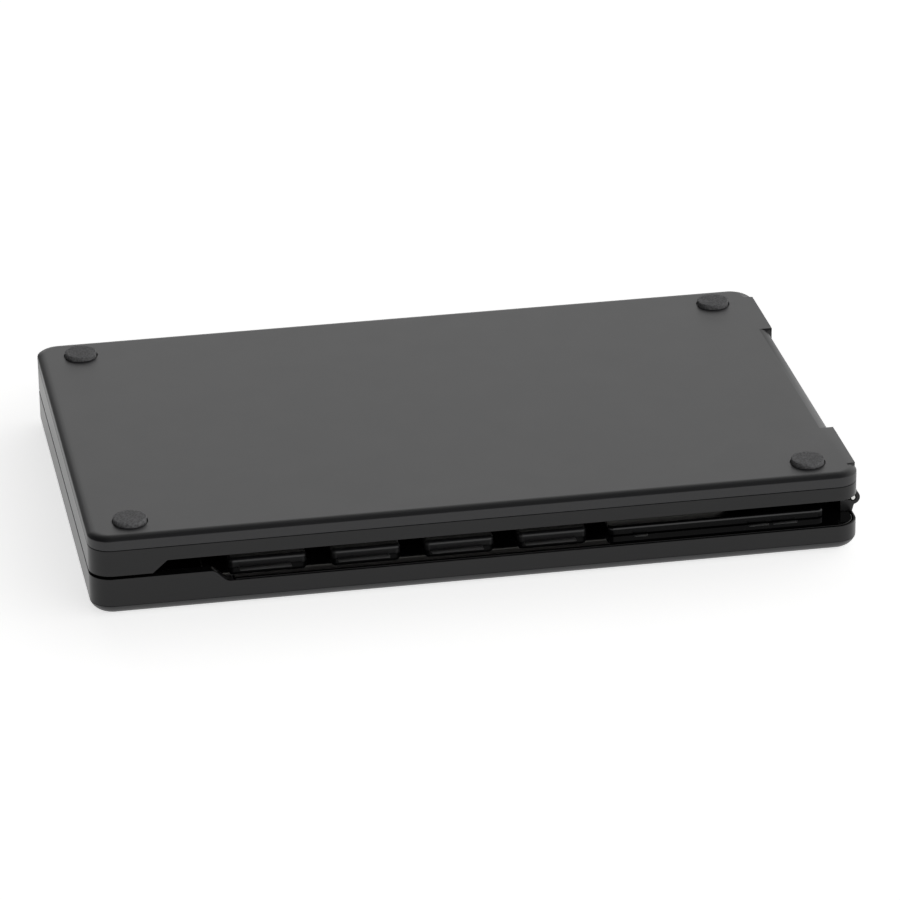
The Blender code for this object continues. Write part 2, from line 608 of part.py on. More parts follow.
def foot_pads(parts):
    """Four round foam pads, seated in the foot side over its screws."""
    bottom = BASE_TOP - PAD_SEAT + 0.0002
    edge = 0.00025
    for number, place_at in enumerate(screw_places(), 1):
        profile = [(PAD_RADIUS, bottom), (PAD_RADIUS, PAD_TOP - edge), (PAD_RADIUS - edge, PAD_TOP)]
        paint(turned(f"foot_pad_{number}", parts, profile, ROUND_SIDES, place_at), FOAM_BLACK, 0.95)


def screw(name, parts, centre, profile):
    """A steel screw, turned from its profile."""
    return paint(turned(name, parts, profile, SCREW_SIDES, centre), STEEL, 0.35, 1.0)


def cross_recess(item, tools, centre, low_z, high_z):
    """Cut the cross for a screwdriver between two heights of a screw's head."""
    arm, half = 0.0011, 0.00025
    for label, reach in (("long", (arm, half)), ("wide", (half, arm))):
        low = (centre[0] - reach[0], centre[1] - reach[1], low_z)
        high = (centre[0] + reach[0], centre[1] + reach[1], high_z)
        cut(item, box(f"{item.name}_recess_{label}", tools, low, high))


def corner_screws(parts, tools):
    """Screws that hold each cover to its frame."""
    for number, centre in enumerate(screw_places(), 1):
        control = [(0.0021, 0.0002), (0.0021, 0.0003), (0.0010, 0.0013), (0.0010, 0.0034), (0.0006, 0.0036)]
        cross_recess(screw(f"control_screw_{number}", parts, centre, control), tools, centre, 0.0, 0.0008)
        base = [(0.0006, 0.0114), (0.0010, 0.0117), (0.0010, 0.01447), (0.0022, 0.01447), (0.0022, 0.0154)]
        screw(f"base_screw_{number}", parts, centre, base)


def load_cell_group(parts, tools):
    """Load cell on its shim, its gauge cover and the two screws of its fixed end."""
    low, high = (*LOAD_CELL[0], LOAD_CELL_BOTTOM), (*LOAD_CELL[1], LOAD_CELL_TOP)
    cell = box("load_cell", parts, low, high)
    middle_x, middle_z = (low[0] + high[0]) / 2, (low[2] + high[2]) / 2
    for number, x in enumerate((middle_x - FLEXURE_OFFSET, middle_x + FLEXURE_OFFSET), 1):
        bore = profile_prism(f"flexure_bore_{number}", tools, arc((x, middle_z), 0.0014, 0, 337.5, 15), 0.04, 0.06)
        cut(cell, bore)
    low = (middle_x - FLEXURE_OFFSET, 0.04, middle_z - 0.0004)
    high = (middle_x + FLEXURE_OFFSET, 0.06, middle_z + 0.0004)
    cut(cell, box("flexure_slot", tools, low, high))
    for number, x in enumerate(LOAD_CELL_FIXED + LOAD_CELL_FREE, 1):
        hole = [(LOAD_CELL_HOLE, 0.010), (LOAD_CELL_HOLE, 0.0155)]
        cut(cell, turned(f"load_cell_hole_{number}", tools, hole, SCREW_SIDES, (x, MIDDLE_Y)))
    paint(cell, ALUMINIUM, 0.35, 1.0)

    shim = box("load_cell_shim", parts, *SHIM)
    for number, x in enumerate(LOAD_CELL_FIXED, 1):
        hole = [(LOAD_CELL_HOLE, 0.0145), (LOAD_CELL_HOLE, 0.016)]
        cut(shim, turned(f"shim_hole_{number}", tools, hole, SCREW_SIDES, (x, MIDDLE_Y)))
        profile = [(0.0021, 0.0100), (0.0021, 0.01075), (0.0010, 0.01075), (0.0010, 0.0150)]
        screw(f"load_cell_screw_{number}", parts, (x, MIDDLE_Y), profile)
    paint(shim, STEEL, 0.35, 1.0)
    paint(box("gauge_cover", parts, *GAUGE_COVER, 0.0010), WHITE_PLASTIC, 0.60)


def platform_group(parts, tools):
    """Carrier on the load cell's free end, its two screws and the steel pan over it."""
    low = (PAN[0][0] + 0.0070, PAN[0][1] + 0.0070, CARRIER_BOTTOM)
    high = (PAN[1][0] - 0.0070, PAN[1][1] - 0.0070, CARRIER_TOP)
    carrier = box("platform_carrier", parts, low, high, 0.0030)
    low, high = (0.0510, 0.0450, 0.008), (0.0665, 0.0534, 0.012)
    cut(carrier, box("fixed_screw_room", tools, low, high, 0.0020))
    for number, x in enumerate(LOAD_CELL_FREE, 1):
        sink = [(0.0023, 0.0090), (0.0023, 0.0098), (0.0012, 0.0098), (0.0012, 0.0110)]
        cut(carrier, turned(f"carrier_hole_{number}", tools, sink, SCREW_SIDES, (x, MIDDLE_Y)))
        profile = [(0.0020, 0.00945), (0.0020, 0.0097), (0.0009, 0.0097), (0.0009, 0.0135)]
        screw(f"platform_screw_{number}", parts, (x, MIDDLE_Y), profile)
    paint(carrier, SATIN_BLACK, 0.50)

    def ring(inset, z):
        corners = (PAN[0][0] + inset, PAN[0][1] + inset), (PAN[1][0] - inset, PAN[1][1] - inset)
        return rounded_rectangle(*corners, 0.0040 - inset), z

    edge = 0.0004
    rings = [ring(PAN_SKIRT, PAN_BOTTOM + PAN_PLATE), ring(PAN_SKIRT, PAN_SKIRT_TOP), ring(0.0, PAN_SKIRT_TOP)]
    rings += [ring(0.0, PAN_BOTTOM + edge), ring(edge * 0.3, PAN_BOTTOM + edge * 0.3), ring(edge, PAN_BOTTOM)]
    paint(loft("weighing_platform", parts, rings), STEEL, 0.25, 1.0)


def lead(name, parts, route):
    """A round lead along a smooth curve through the route's points, with welded flat ends."""
    curve = bpy.data.curves.new(name + "_path", "CURVE")
    curve.dimensions = "3D"
    curve.bevel_depth = LEAD_RADIUS
    curve.bevel_resolution = 2
    curve.use_fill_caps = True
    spline = curve.splines.new("POLY")
    points = smooth_points(route)
    spline.points.add(len(points) - 1)
    for target, point in zip(spline.points, points):
        target.co = (*point, 1.0)
    guide = bpy.data.objects.new(name + "_guide", curve)
    parts.objects.link(guide)
    graph = bpy.context.evaluated_depsgraph_get()
    mesh = bpy.data.meshes.new_from_object(guide.evaluated_get(graph))
    bpy.data.objects.remove(guide, do_unlink=True)
    bm = bmesh.new()
    bm.from_mesh(mesh)
    bmesh.ops.remove_doubles(bm, verts=bm.verts, dist=0.00001)
    return paint(place(bm, name, parts), GLOSS_BLACK, 0.50)


def smooth_points(route, steps=3):
    """Points of a Catmull-Rom curve through the route."""
    ends = [route[0], *route, route[-1]]
    points = []
    for before, start, finish, after in zip(ends, ends[1:], ends[2:], ends[3:]):
        for i in range(steps):
            t = i / steps
            point = []
            for a, b, c, d in zip(before, start, finish, after):
                bend = (2 * a - 5 * b + 4 * c - d) * t * t + (3 * b - a - 3 * c + d) * t ** 3
                point.append((2 * b + (c - a) * t + bend) / 2)
            points.append(point)
    points.append(route[-1])
    return points


def hinge_pins(parts):
    """A steel pin through the lugs and the barrel at each end of the hinge."""
    for end, front, back in both_ends(LUG_START - 0.0001, BARREL_END + LUG_WIDTH):
        paint(axle(f"hinge_pin_{end}", parts, PIN_RADIUS, front, back, 12), STEEL, 0.20, 1.0)


def set_origin(item, origin):
    """Move an object's origin without moving its faces."""
    shift = [origin[i] - item.location[i] for i in range(3)]
    for vertex in item.data.vertices:
        vertex.co = [vertex.co[i] - shift[i] for i in range(3)]
    item.location = origin


def centre_all(collections):
    """Move everything so that the origin lies under the middle of the object."""
    for collection in collections:
        for item in collection.objects:
            item.location.x -= CENTRE_X
            item.location.y -= CENTRE_Y


def set_moving_origins():
    """Put each moving piece's origin on its joint's axis."""
    for name in ("base_frame", "base_cover"):
        set_origin(bpy.data.objects[name], (HINGE_X, CENTRE_Y, HINGE_Z))
    for number, (low, high) in enumerate(key_boxes(), 1):
        origin = ((low[0] + high[0]) / 2, (low[1] + high[1]) / 2, KEY_TOP)
        set_origin(bpy.data.objects[f"key_{number}"], origin)
    centre = ((PAN[0][0] + PAN[1][0]) / 2, (PAN[0][1] + PAN[1][1]) / 2, PAN_BOTTOM)
    set_origin(bpy.data.objects["weighing_platform"], centre)


def build():
    clear_scene()
    parts = new_collection("gram_scale")
    tools = new_collection("cutters")
    control_cover(parts, tools)
    control_frame(parts, tools)
    face_plate(parts, tools)
    keys(parts)
    display(parts, tools)
    circuit(parts)
    battery_group(parts, tools)
    base_frame(parts, tools)
    base_cover(parts, tools)
    foot_pads(parts)
    corner_screws(parts, tools)
    load_cell_group(parts, tools)
    platform_group(parts, tools)
    lead("load_cell_lead", parts, BASE_LEAD_ROUTE)
    lead("control_lead", parts, CONTROL_LEAD_ROUTE)
    hinge_pins(parts)
    set_moving_origins()
    centre_all((parts, tools))


build()
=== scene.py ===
"""Looks of a folding pocket gram scale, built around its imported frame.

The closed scale lies on its control half with its foot pads up.  The visible pieces are drawn
again here with fine edges, in millimetres from the case's front left corner, and every piece,
inside or out, gets the finish of the real one.
"""

import logging
import math
from collections.abc import Callable
from dataclasses import dataclass
from enum import Enum

import bmesh
import bpy
from mathutils import Matrix, Vector, noise


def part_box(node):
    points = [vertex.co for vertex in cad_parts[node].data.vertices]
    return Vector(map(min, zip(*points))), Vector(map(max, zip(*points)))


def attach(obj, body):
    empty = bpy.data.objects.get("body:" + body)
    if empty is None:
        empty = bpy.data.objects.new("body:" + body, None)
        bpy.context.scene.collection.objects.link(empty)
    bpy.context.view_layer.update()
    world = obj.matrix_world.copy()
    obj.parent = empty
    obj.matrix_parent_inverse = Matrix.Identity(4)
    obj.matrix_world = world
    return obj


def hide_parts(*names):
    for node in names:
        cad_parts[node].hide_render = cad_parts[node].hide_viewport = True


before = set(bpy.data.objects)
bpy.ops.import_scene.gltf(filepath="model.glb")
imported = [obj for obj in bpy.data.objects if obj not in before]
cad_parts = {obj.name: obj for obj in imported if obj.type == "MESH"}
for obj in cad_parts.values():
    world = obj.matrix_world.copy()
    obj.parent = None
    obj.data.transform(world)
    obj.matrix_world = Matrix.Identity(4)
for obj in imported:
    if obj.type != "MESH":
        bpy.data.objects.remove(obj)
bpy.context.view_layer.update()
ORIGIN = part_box("control_cover")[0]

MM = 0.001

Tree = bpy.types.NodeTree
Node = bpy.types.Node
Socket = bpy.types.NodeSocket
Item = bpy.types.Object
Point = tuple[float, float]
Spot = tuple[float, float, float]
Ring = tuple[list[Point], float]

log = logging.getLogger("gram_scale")


class Body(Enum):
    """The moving groups of the scale."""

    CONTROL = "control_half"
    WEIGHING = "weighing_half"
    PLATFORM = "platform"


class Cut(Enum):
    """What a tool shape does to the piece it meets."""

    TAKE = "DIFFERENCE"
    ADD = "UNION"


# --------------------------------------------------------------------------------------
# Finishes
# --------------------------------------------------------------------------------------


def linear(code: str) -> tuple[float, float, float, float]:
    """Turn an sRGB hex code into a linear colour.

    Args:
        code: Six hex digits after a hash sign.

    Returns:
        Linear red, green and blue, and an alpha of 1.
    """
    shares = [int(code[i : i + 2], 16) / 255 for i in (1, 3, 5)]
    red, green, blue = (s / 12.92 if s <= 0.04045 else ((s + 0.055) / 1.055) ** 2.4 for s in shares)
    return red, green, blue, 1.0


def add_node(tree: Tree, kind: str, settings: dict, links: dict | None = None) -> Node:
    """Add a shader node with its settings and links.

    Args:
        tree: The node tree it goes in.
        kind: The node's type.
        settings: Values by input name, input number or attribute name.
        links: Output sockets by input name or number.

    Returns:
        The new node.
    """
    node = tree.nodes.new(kind)
    for key, value in settings.items():
        if isinstance(key, int) or key in node.inputs:
            node.inputs[key].default_value = value
        else:
            setattr(node, key, value)
    for key, source in (links or {}).items():
        tree.links.new(source, node.inputs[key])
    return node


def noise_of(tree: Tree, place: Socket, grain_mm: float, **settings: float) -> Socket:
    """Noise with a grain of a given size.

    Args:
        tree: The node tree it goes in.
        place: Where on the piece a point lies.
        grain_mm: Size of the grain in millimetres.
        **settings: The noise's other inputs.

    Returns:
        The noise, from 0 to 1.
    """
    settings = {"Scale": 1 / (grain_mm * MM), **settings}
    return add_node(tree, "ShaderNodeTexNoise", settings, {"Vector": place}).outputs["Fac"]


def stand_up(tree: Tree, shader: Node, height: Socket, depth_mm: float) -> None:
    """Let a pattern stand up from the surface, its full height given in millimetres."""
    settings = {"Strength": 1.0, "Distance": depth_mm * MM}
    bump = add_node(tree, "ShaderNodeBump", settings, {"Height": height})
    tree.links.new(bump.outputs["Normal"], shader.inputs["Normal"])


@dataclass(frozen=True)
class Finish:
    """A plain surface: the start of every other finish."""

    name: str
    slot: str
    colour: str
    roughness: float
    metallic: float = 0.0
    ior: float = 1.5

    def material(self) -> bpy.types.Material:
        """Return the finish's material, made the first time it is asked for."""
        found = bpy.data.materials.get(self.name)
        if found:
            return found
        material = bpy.data.materials.new(self.name)
        material.use_nodes = True
        tree = material.node_tree
        shader = tree.nodes["Principled BSDF"]
        shader.inputs["Base Color"].default_value = linear(self.colour)
        shader.inputs["Roughness"].default_value = self.roughness
        shader.inputs["Metallic"].default_value = self.metallic
        if not self.metallic:
            shader.inputs["IOR"].default_value = self.ior
        place = add_node(tree, "ShaderNodeTexCoord", {}).outputs["Object"]
        self.surface(tree, shader, place)
        return material

    def surface(self, tree: Tree, shader: Node, place: Socket) -> None:
        """Add what the making of the surface gives it; a plain surface has nothing."""

    def vary(
        self,
        tree: Tree,
        source: Socket,
        shader: Node,
        tint: str,
        spread: float,
    ) -> None:
        """Let a pattern shift the colour towards a tint and the roughness up and down.

        Args:
            tree: The material's node tree.
            source: A pattern from 0 to 1.
            shader: The Principled shader.
            tint: Hex colour at the pattern's high end.
            spread: Roughness change between the pattern's two ends.
        """
        mix = add_node(
            tree,
            "ShaderNodeMix",
            {"data_type": "RGBA", 6: linear(self.colour), 7: linear(tint)},
            {0: source},
        )
        tree.links.new(mix.outputs[2], shader.inputs["Base Color"])
        low, high = self.roughness - spread / 2, self.roughness + spread / 2
        rough = add_node(tree, "ShaderNodeMapRange", {"To Min": low, "To Max": high}, {"Value": source})
        tree.links.new(rough.outputs["Result"], shader.inputs["Roughness"])


@dataclass(frozen=True)
class MouldedPlastic(Finish):
    """Injection-moulded ABS from a spark-eroded mould: an even satin grain, faintly mottled."""

    tint: str = "#1d1d1e"
    grain_mm: float = 0.30
    depth_mm: float = 0.006
    mottle_mm: float = 7.0
    spread: float = 0.06

    def surface(self, tree: Tree, shader: Node, place: Socket) -> None:
        """Grain as fine bumps, and slow mottling in the sheen."""
        # The real grain is near 0.05 mm; it is drawn at grain_mm so that it shows at all.
        grain = noise_of(tree, place, self.grain_mm, Detail=3.0, Roughness=0.6)
        mottle = noise_of(tree, place, self.mottle_mm, Detail=5.0, Roughness=0.65)
        both = add_node(tree, "ShaderNodeMix", {0: 0.35}, {2: mottle, 3: grain})
        self.vary(tree, both.outputs[0], shader, self.tint, self.spread)
        stand_up(tree, shader, grain, self.depth_mm)


@dataclass(frozen=True)
class PolishedPlastic(Finish):
    """Cast acrylic with a polished face: mirror-like, with a trace of wiping haze."""

    tint: str = "#0b0b0c"
    haze_mm: float = 12.0
    spread: float = 0.03

    def surface(self, tree: Tree, shader: Node, place: Socket) -> None:
        """Slow haze in the gloss."""
        haze = noise_of(tree, place, self.haze_mm, Detail=4.0, Distortion=0.6)
        self.vary(tree, haze, shader, self.tint, self.spread)


@dataclass(frozen=True)
class FoamRubber(Finish):
    """Closed-cell foam rubber, die-cut from sheet: matt, with burst cells all over its face."""

    # tint is the painted highlight colour that the cells' walls run up to.
    tint: str = "#8a8a8b"
    cell_mm: float = 0.42
    depth_mm: float = 0.12
    spread: float = 0.08

    def surface(self, tree: Tree, shader: Node, place: Socket) -> None:
        """Cells as pits, with painted shade in their middles and painted highlight on their walls."""
        scale = {"Scale": 1 / (self.cell_mm * MM)}
        cells = add_node(tree, "ShaderNodeTexVoronoi", scale, {"Vector": place})
        dust = noise_of(tree, place, self.cell_mm / 2, Detail=4.0)
        both = add_node(tree, "ShaderNodeMix", {0: 0.5}, {2: cells.outputs["Distance"], 3: dust})
        # Painted shade and highlight: colour runs from the plain colour in the cells' middles to tint on
        # their walls.
        self.vary(tree, both.outputs[0], shader, self.tint, self.spread)
        stand_up(tree, shader, both.outputs[0], self.depth_mm)


@dataclass(frozen=True)
class BrushedMetal(Finish):
    """Sheet or bar finished with an abrasive belt along X: fine parallel lines."""

    tint: str = "#b9b8b4"
    line_mm: float = 0.25
    run_mm: float = 25.0
    spread: float = 0.14
    depth_mm: float = 0.004

    def surface(self, tree: Tree, shader: Node, place: Socket) -> None:
        """Long thin noise as the belt's lines."""
        # Belt lines are near 0.05 mm apart; line_mm is as fine as shows.
        scale = (1 / (self.run_mm * MM), 1 / (self.line_mm * MM), 1 / (self.line_mm * MM))
        stretched = add_node(tree, "ShaderNodeMapping", {"Scale": scale}, {"Vector": place})
        lines = add_node(
            tree,
            "ShaderNodeTexNoise",
            {"Scale": 1.0, "Detail": 4.0, "Roughness": 0.6},
            {"Vector": stretched.outputs["Vector"]},
        )
        self.vary(tree, lines.outputs["Fac"], shader, self.tint, self.spread)
        stand_up(tree, shader, lines.outputs["Fac"], self.depth_mm)


@dataclass(frozen=True)
class PlatedMetal(Finish):
    """Plated or tumbled steel: bright, with small dull patches from handling."""

    tint: str = "#8d8c88"
    patch_mm: float = 1.5
    spread: float = 0.12

    def surface(self, tree: Tree, shader: Node, place: Socket) -> None:
        """Patches in the sheen."""
        patch = noise_of(tree, place, self.patch_mm, Detail=5.0, Roughness=0.6)
        self.vary(tree, patch, shader, self.tint, self.spread)


@dataclass(frozen=True)
class ClearPlastic(Finish):
    """Clear acrylic: the display's window, hard-coated, with a slight grey tint."""

    clearness: float = 1.0
    haze_mm: float = 9.0
    spread: float = 0.03

    def surface(self, tree: Tree, shader: Node, place: Socket) -> None:
        """Let light through, with wiping haze in the gloss."""
        shader.inputs["Transmission Weight"].default_value = self.clearness
        haze = noise_of(tree, place, self.haze_mm, Detail=3.0)
        span = {"To Min": self.roughness, "To Max": self.roughness + self.spread}
        rough = add_node(tree, "ShaderNodeMapRange", span, {"Value": haze})
        tree.links.new(rough.outputs["Result"], shader.inputs["Roughness"])


@dataclass(frozen=True)
class SolderMask(Finish):
    """Circuit board under solder mask: copper runs show as slightly raised, lighter lines."""

    tint: str = "#2f7a45"
    pitch_mm: float = 1.27
    spread: float = 0.10

    def surface(self, tree: Tree, shader: Node, place: Socket) -> None:
        """Runs as a brick pattern at the pitch of the chip's legs."""
        runs = add_node(
            tree,
            "ShaderNodeTexBrick",
            {
                "Scale": 1 / (self.pitch_mm * 6 * MM),
                "Color1": (0.0, 0.0, 0.0, 1.0),
                "Color2": (0.25, 0.25, 0.25, 1.0),
                "Mortar": (1.0, 1.0, 1.0, 1.0),
                "Mortar Size": 0.03,
            },
            {"Vector": place},
        )
        self.vary(tree, runs.outputs["Color"], shader, self.tint, self.spread)


# Satin black ABS: the grain breaks up what it mirrors, so it reads grey where it faces the sweep.
COVER_ABS = MouldedPlastic("abs_satin_cover", "cover_plastic", "#131314", 0.40, tint="#17171a")
CASE_ABS = MouldedPlastic(
    "abs_satin_case", "case_plastic", "#0c0c0d", 0.30, ior=1.40, tint="#0f0f10"
)
# Keys come from a smoother mould than the case, which gives them a tighter highlight.
KEY_ABS = MouldedPlastic("abs_smooth_keys", "key_plastic", "#161617", 0.30, depth_mm=0.003)
# Parts that nobody sees have the mould's plain finish, a little duller.
INNER_ABS = MouldedPlastic("abs_plain_inner", "inner_plastic", "#18181a", 0.50)
# Cast acrylic mirrors the keys that stand on it.
PLATE_ACRYLIC = PolishedPlastic("acrylic_gloss_plate", "gloss_plate", "#060607", 0.05, ior=1.49)
# The bezel is high-gloss ABS, a touch softer than the plate.
BEZEL_GLOSS = PolishedPlastic("abs_gloss_bezel", "gloss_plate", "#0a0a0b", 0.16)
# Dim grey screen-printing ink, flat and slightly rough, on the plate.
PRINT_INK = MouldedPlastic(
    "screen_print_grey", "gloss_plate", "#4a4a4a", 0.55, tint="#5a5a5a", grain_mm=0.4
)
# Light is painted on the burst cells' walls, so the foam looks nearly as pale as the satin cover around
# it.
PAD_FOAM = FoamRubber("foam_rubber_pads", "foot_foam", "#2f2f30", 0.85)
WINDOW_ACRYLIC = ClearPlastic("acrylic_clear_window", "clear_lens", "#eef0f1", 0.02, ior=1.49)
# Reflective twisted-nematic glass: grey-green and nearly mirror-smooth.
LCD_GLASS = PolishedPlastic(
    "lcd_grey_glass", "lcd", "#8b9484", 0.12, ior=1.52, tint="#98a08f", haze_mm=4.0
)
# Driven segments look near-black, with a blue cast.
LCD_SEGMENT = PolishedPlastic("lcd_dark_segment", "lcd", "#14171c", 0.25, haze_mm=3.0)
# Moulded acrylic light guide with a diffusing print, milky white.
GUIDE_WHITE = PolishedPlastic(
    "light_guide_white", "light_guide", "#e2e1dc", 0.40, tint="#f0efea", haze_mm=5.0
)
BOARD_MASK = SolderMask("solder_mask_green", "board", "#14522b", 0.35)
CHIP_EPOXY = MouldedPlastic("epoxy_black_chip", "chip", "#121212", 0.60, grain_mm=0.15)
NYLON_WHITE = MouldedPlastic("nylon_natural", "white_nylon", "#deddd6", 0.45, tint="#ebeae4")
# Type 304 sheet, belt-brushed along its length.
PLATFORM_STEEL = BrushedMetal("stainless_brushed", "steel", "#cfcdc8", 0.30, 1.0)
PIN_STEEL = PlatedMetal("steel_polished_pin", "pin_steel", "#dadad8", 0.14, 1.0, tint="#c9c9c6")
CELL_NICKEL = PlatedMetal("nickel_coin_cell", "cell_steel", "#d2d0cb", 0.22, 1.0, tint="#bdbbb5")
SCREW_ZINC = PlatedMetal("zinc_screw", "screw_steel", "#b9b8b6", 0.34, 1.0, patch_mm=0.8)
# Milled 2024 aluminium bar, cutter lines along its length.
CELL_ALUMINIUM = BrushedMetal(
    "aluminium_milled", "aluminium", "#d9dadb", 0.32, 1.0, tint="#c6c7c9", line_mm=0.5
)
LEAD_SLEEVE = MouldedPlastic("pvc_lead_sleeve", "wire_cover", "#0f0f10", 0.45, grain_mm=0.2)


# --------------------------------------------------------------------------------------
# Mesh work, in millimetres from the case's front left corner
# --------------------------------------------------------------------------------------


def arc(centre: Point, radius: float, start: float, end: float, steps: int) -> list[Point]:
    """Points along an arc.

    Args:
        centre: The arc's centre.
        radius: Its radius.
        start: First angle in degrees.
        end: Last angle in degrees.
        steps: How many equal steps it is cut into.

    Returns:
        Its points, both ends included.
    """
    turns = [math.radians(start + (end - start) * i / steps) for i in range(steps + 1)]
    return [(centre[0] + radius * math.cos(t), centre[1] + radius * math.sin(t)) for t in turns]


def quarter_round(radius: float, steps: int) -> list[Point]:
    """Inset and drop along a quarter-round edge, from its upright side to its flat one."""
    turns = [math.pi / 2 * i / steps for i in range(steps + 1)]
    return [(radius * (1 - math.cos(t)), radius * (1 - math.sin(t))) for t in turns]


def circle(centre: Point, radius: float, sides: int) -> list[Point]:
    """Points of a full circle, each once."""
    return arc(centre, radius, 0, 360 * (sides - 1) / sides, sides - 1)


def rounded_rectangle(low: Point, high: Point, radius: float, steps: int = 8) -> list[Point]:
    """Outline of a rectangle with round corners, counter-clockwise."""
    left, right = low[0] + radius, high[0] - radius
    front, back = low[1] + radius, high[1] - radius
    turns = (((left, front), 180), ((right, front), 270), ((right, back), 0), ((left, back), 90))
    return [point for centre, start in turns for point in arc(centre, radius, start, start + 90, steps)]


def solid(name: str, bm: bmesh.types.BMesh) -> Item:
    """Make a smooth object of a mesh drawn in millimetres.

    Args:
        name: The object's name.
        bm: The mesh, which is freed.

    Returns:
        The object, in the frame's place and metres.
    """
    bmesh.ops.recalc_face_normals(bm, faces=bm.faces)
    to_frame = Matrix.Translation(ORIGIN) @ Matrix.Scale(MM, 4)
    bmesh.ops.transform(bm, matrix=to_frame, verts=bm.verts)
    mesh = bpy.data.meshes.new(name)
    bm.to_mesh(mesh)
    bm.free()
    mesh.shade_smooth()
    item = bpy.data.objects.new(name, mesh)
    bpy.context.scene.collection.objects.link(item)
    return item


def loft(name: str, rings: list[Ring], closed: bool = False, lying: bool = False) -> Item:
    """A solid through rings.

    Args:
        name: The object's name.
        rings: Outlines, each with its height, or its place along Y where the solid is lying.
        closed: Whether the last ring joins the first, as round a frame.
        lying: Whether the outlines are in X and Z, carried along Y.

    Returns:
        The object.
    """
    bm = bmesh.new()
    loops = []
    for outline, level in rings:
        spots = [(a, level, b) if lying else (a, b, level) for a, b in outline]
        loops.append([bm.verts.new(spot) for spot in spots])
    following = loops[1:] + loops[:1] if closed else loops[1:]
    for lower, upper in zip(loops, following):
        for i, vertex in enumerate(lower):
            bm.faces.new((lower[i - 1], vertex, upper[i], upper[i - 1]))
    if not closed:
        bm.faces.new(loops[0])
        bm.faces.new(loops[-1])
    return solid(name, bm)


def block(name: str, low: Spot, high: Spot, radius: float = 0.0) -> Item:
    """An upright block between two corners, with round upright edges if radius is given."""
    if radius:
        outline = rounded_rectangle(low[:2], high[:2], radius)
    else:
        outline = [(low[0], low[1]), (high[0], low[1]), (high[0], high[1]), (low[0], high[1])]
    return loft(name, [(outline, low[2]), (outline, high[2])])


def turned(name: str, profile: list[Point], centre: Point, sides: int = 48) -> Item:
    """A solid turned about an upright axis, its profile given as radius and height."""
    return loft(name, [(circle(centre, radius, sides), z) for radius, z in profile])


def bake_modifiers(item: Item) -> None:
    """Make an object's modifiers part of its mesh."""
    graph = bpy.context.evaluated_depsgraph_get()
    mesh = bpy.data.meshes.new_from_object(item.evaluated_get(graph))
    item.modifiers.clear()
    item.data = mesh
    mesh.name = item.name


def shape(item: Item, tool: Item, how: Cut) -> None:
    """Take a tool's shape out of a piece, or add it, and do away with the tool."""
    modifier = item.modifiers.new("shape", "BOOLEAN")
    modifier.operation = how.value
    modifier.solver = "EXACT"
    modifier.object = tool
    bake_modifiers(item)
    bpy.data.objects.remove(tool, do_unlink=True)


def merge_flat(item: Item, angle: float = 1.0) -> None:
    """Merge the faces that lie in one plane, so that an edge round meets no short edges.

    Args:
        item: The piece.
        angle: Faces this close to one plane count as flat, in degrees.
    """
    bm = bmesh.new()
    bm.from_mesh(item.data)
    limit = math.radians(angle)
    bmesh.ops.dissolve_limit(bm, angle_limit=limit, verts=bm.verts[:], edges=bm.edges[:])
    bm.to_mesh(item.data)
    bm.free()


def weigh_edges(item: Item, keen: Callable[[Vector], bool], angle: float = 32.0) -> None:
    """Mark for rounding the edges that turn sharply and don't lie in a keen place.

    Args:
        item: The piece.
        keen: Says whether a place, in millimetres, keeps its sharp edges.
        angle: Edges that turn more than this are sharp, in degrees.
    """
    bm = bmesh.new()
    bm.from_mesh(item.data)
    weight = bm.edges.layers.float.new("bevel_weight_edge")
    for edge in bm.edges:
        turns = len(edge.link_faces) == 2 and edge.calc_face_angle() > math.radians(angle)
        kept = all(keen((vertex.co - ORIGIN) / MM) for vertex in edge.verts)
        edge[weight] = 1.0 if turns and not kept else 0.0
    bm.to_mesh(item.data)
    bm.free()


def soften(
    item: Item,
    radius: float,
    segments: int = 3,
    keen: Callable[[Vector], bool] | None = None,
) -> None:
    """Round a piece's sharp edges, as a mould or a tumbler leaves them.

    Args:
        item: The piece.
        radius: Edge radius in millimetres.
        segments: Faces across each round.
        keen: Says whether a place, in millimetres, keeps its sharp edges.
    """
    edge = item.modifiers.new("edge", "BEVEL")
    edge.width = radius * MM
    edge.segments = segments
    edge.limit_method = "ANGLE"
    edge.angle_limit = math.radians(32)
    if keen:
        weigh_edges(item, keen)
        edge.limit_method = "WEIGHT"
    edge.use_clamp_overlap = False
    even = item.modifiers.new("even", "WEIGHTED_NORMAL")
    even.keep_sharp = True
    even.weight = 90
    bake_modifiers(item)


def fit(
    item: Item, body: Body | str, finish: Finish, replaced: tuple[str, ...] = ()
) -> Item:
    """Dress a piece and hang it on its body.

    Args:
        item: The piece, in place.
        body: The body that it moves with.
        finish: Its finish.
        replaced: The frame's nodes that it stands for.

    Returns:
        The piece.
    """
    item.data.materials.clear()
    item.data.materials.append(finish.material())
    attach(item, body.value if isinstance(body, Body) else body)
    if replaced:
        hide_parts(*replaced)
    log.info("%s: %s, %d faces", item.name, finish.name, len(item.data.polygons))
    return item


def corners(node: str) -> tuple[Vector, Vector]:
    """A frame node's lowest and highest corner, in millimetres from the case's corner."""
    low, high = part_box(node)
    return (low - ORIGIN) / MM, (high - ORIGIN) / MM


def middle(node: str) -> Point:
    """The plan middle of a frame node, in millimetres."""
    low, high = corners(node)
    return (low.x + high.x) / 2, (low.y + high.y) / 2


# --------------------------------------------------------------------------------------
# The scale
# --------------------------------------------------------------------------------------


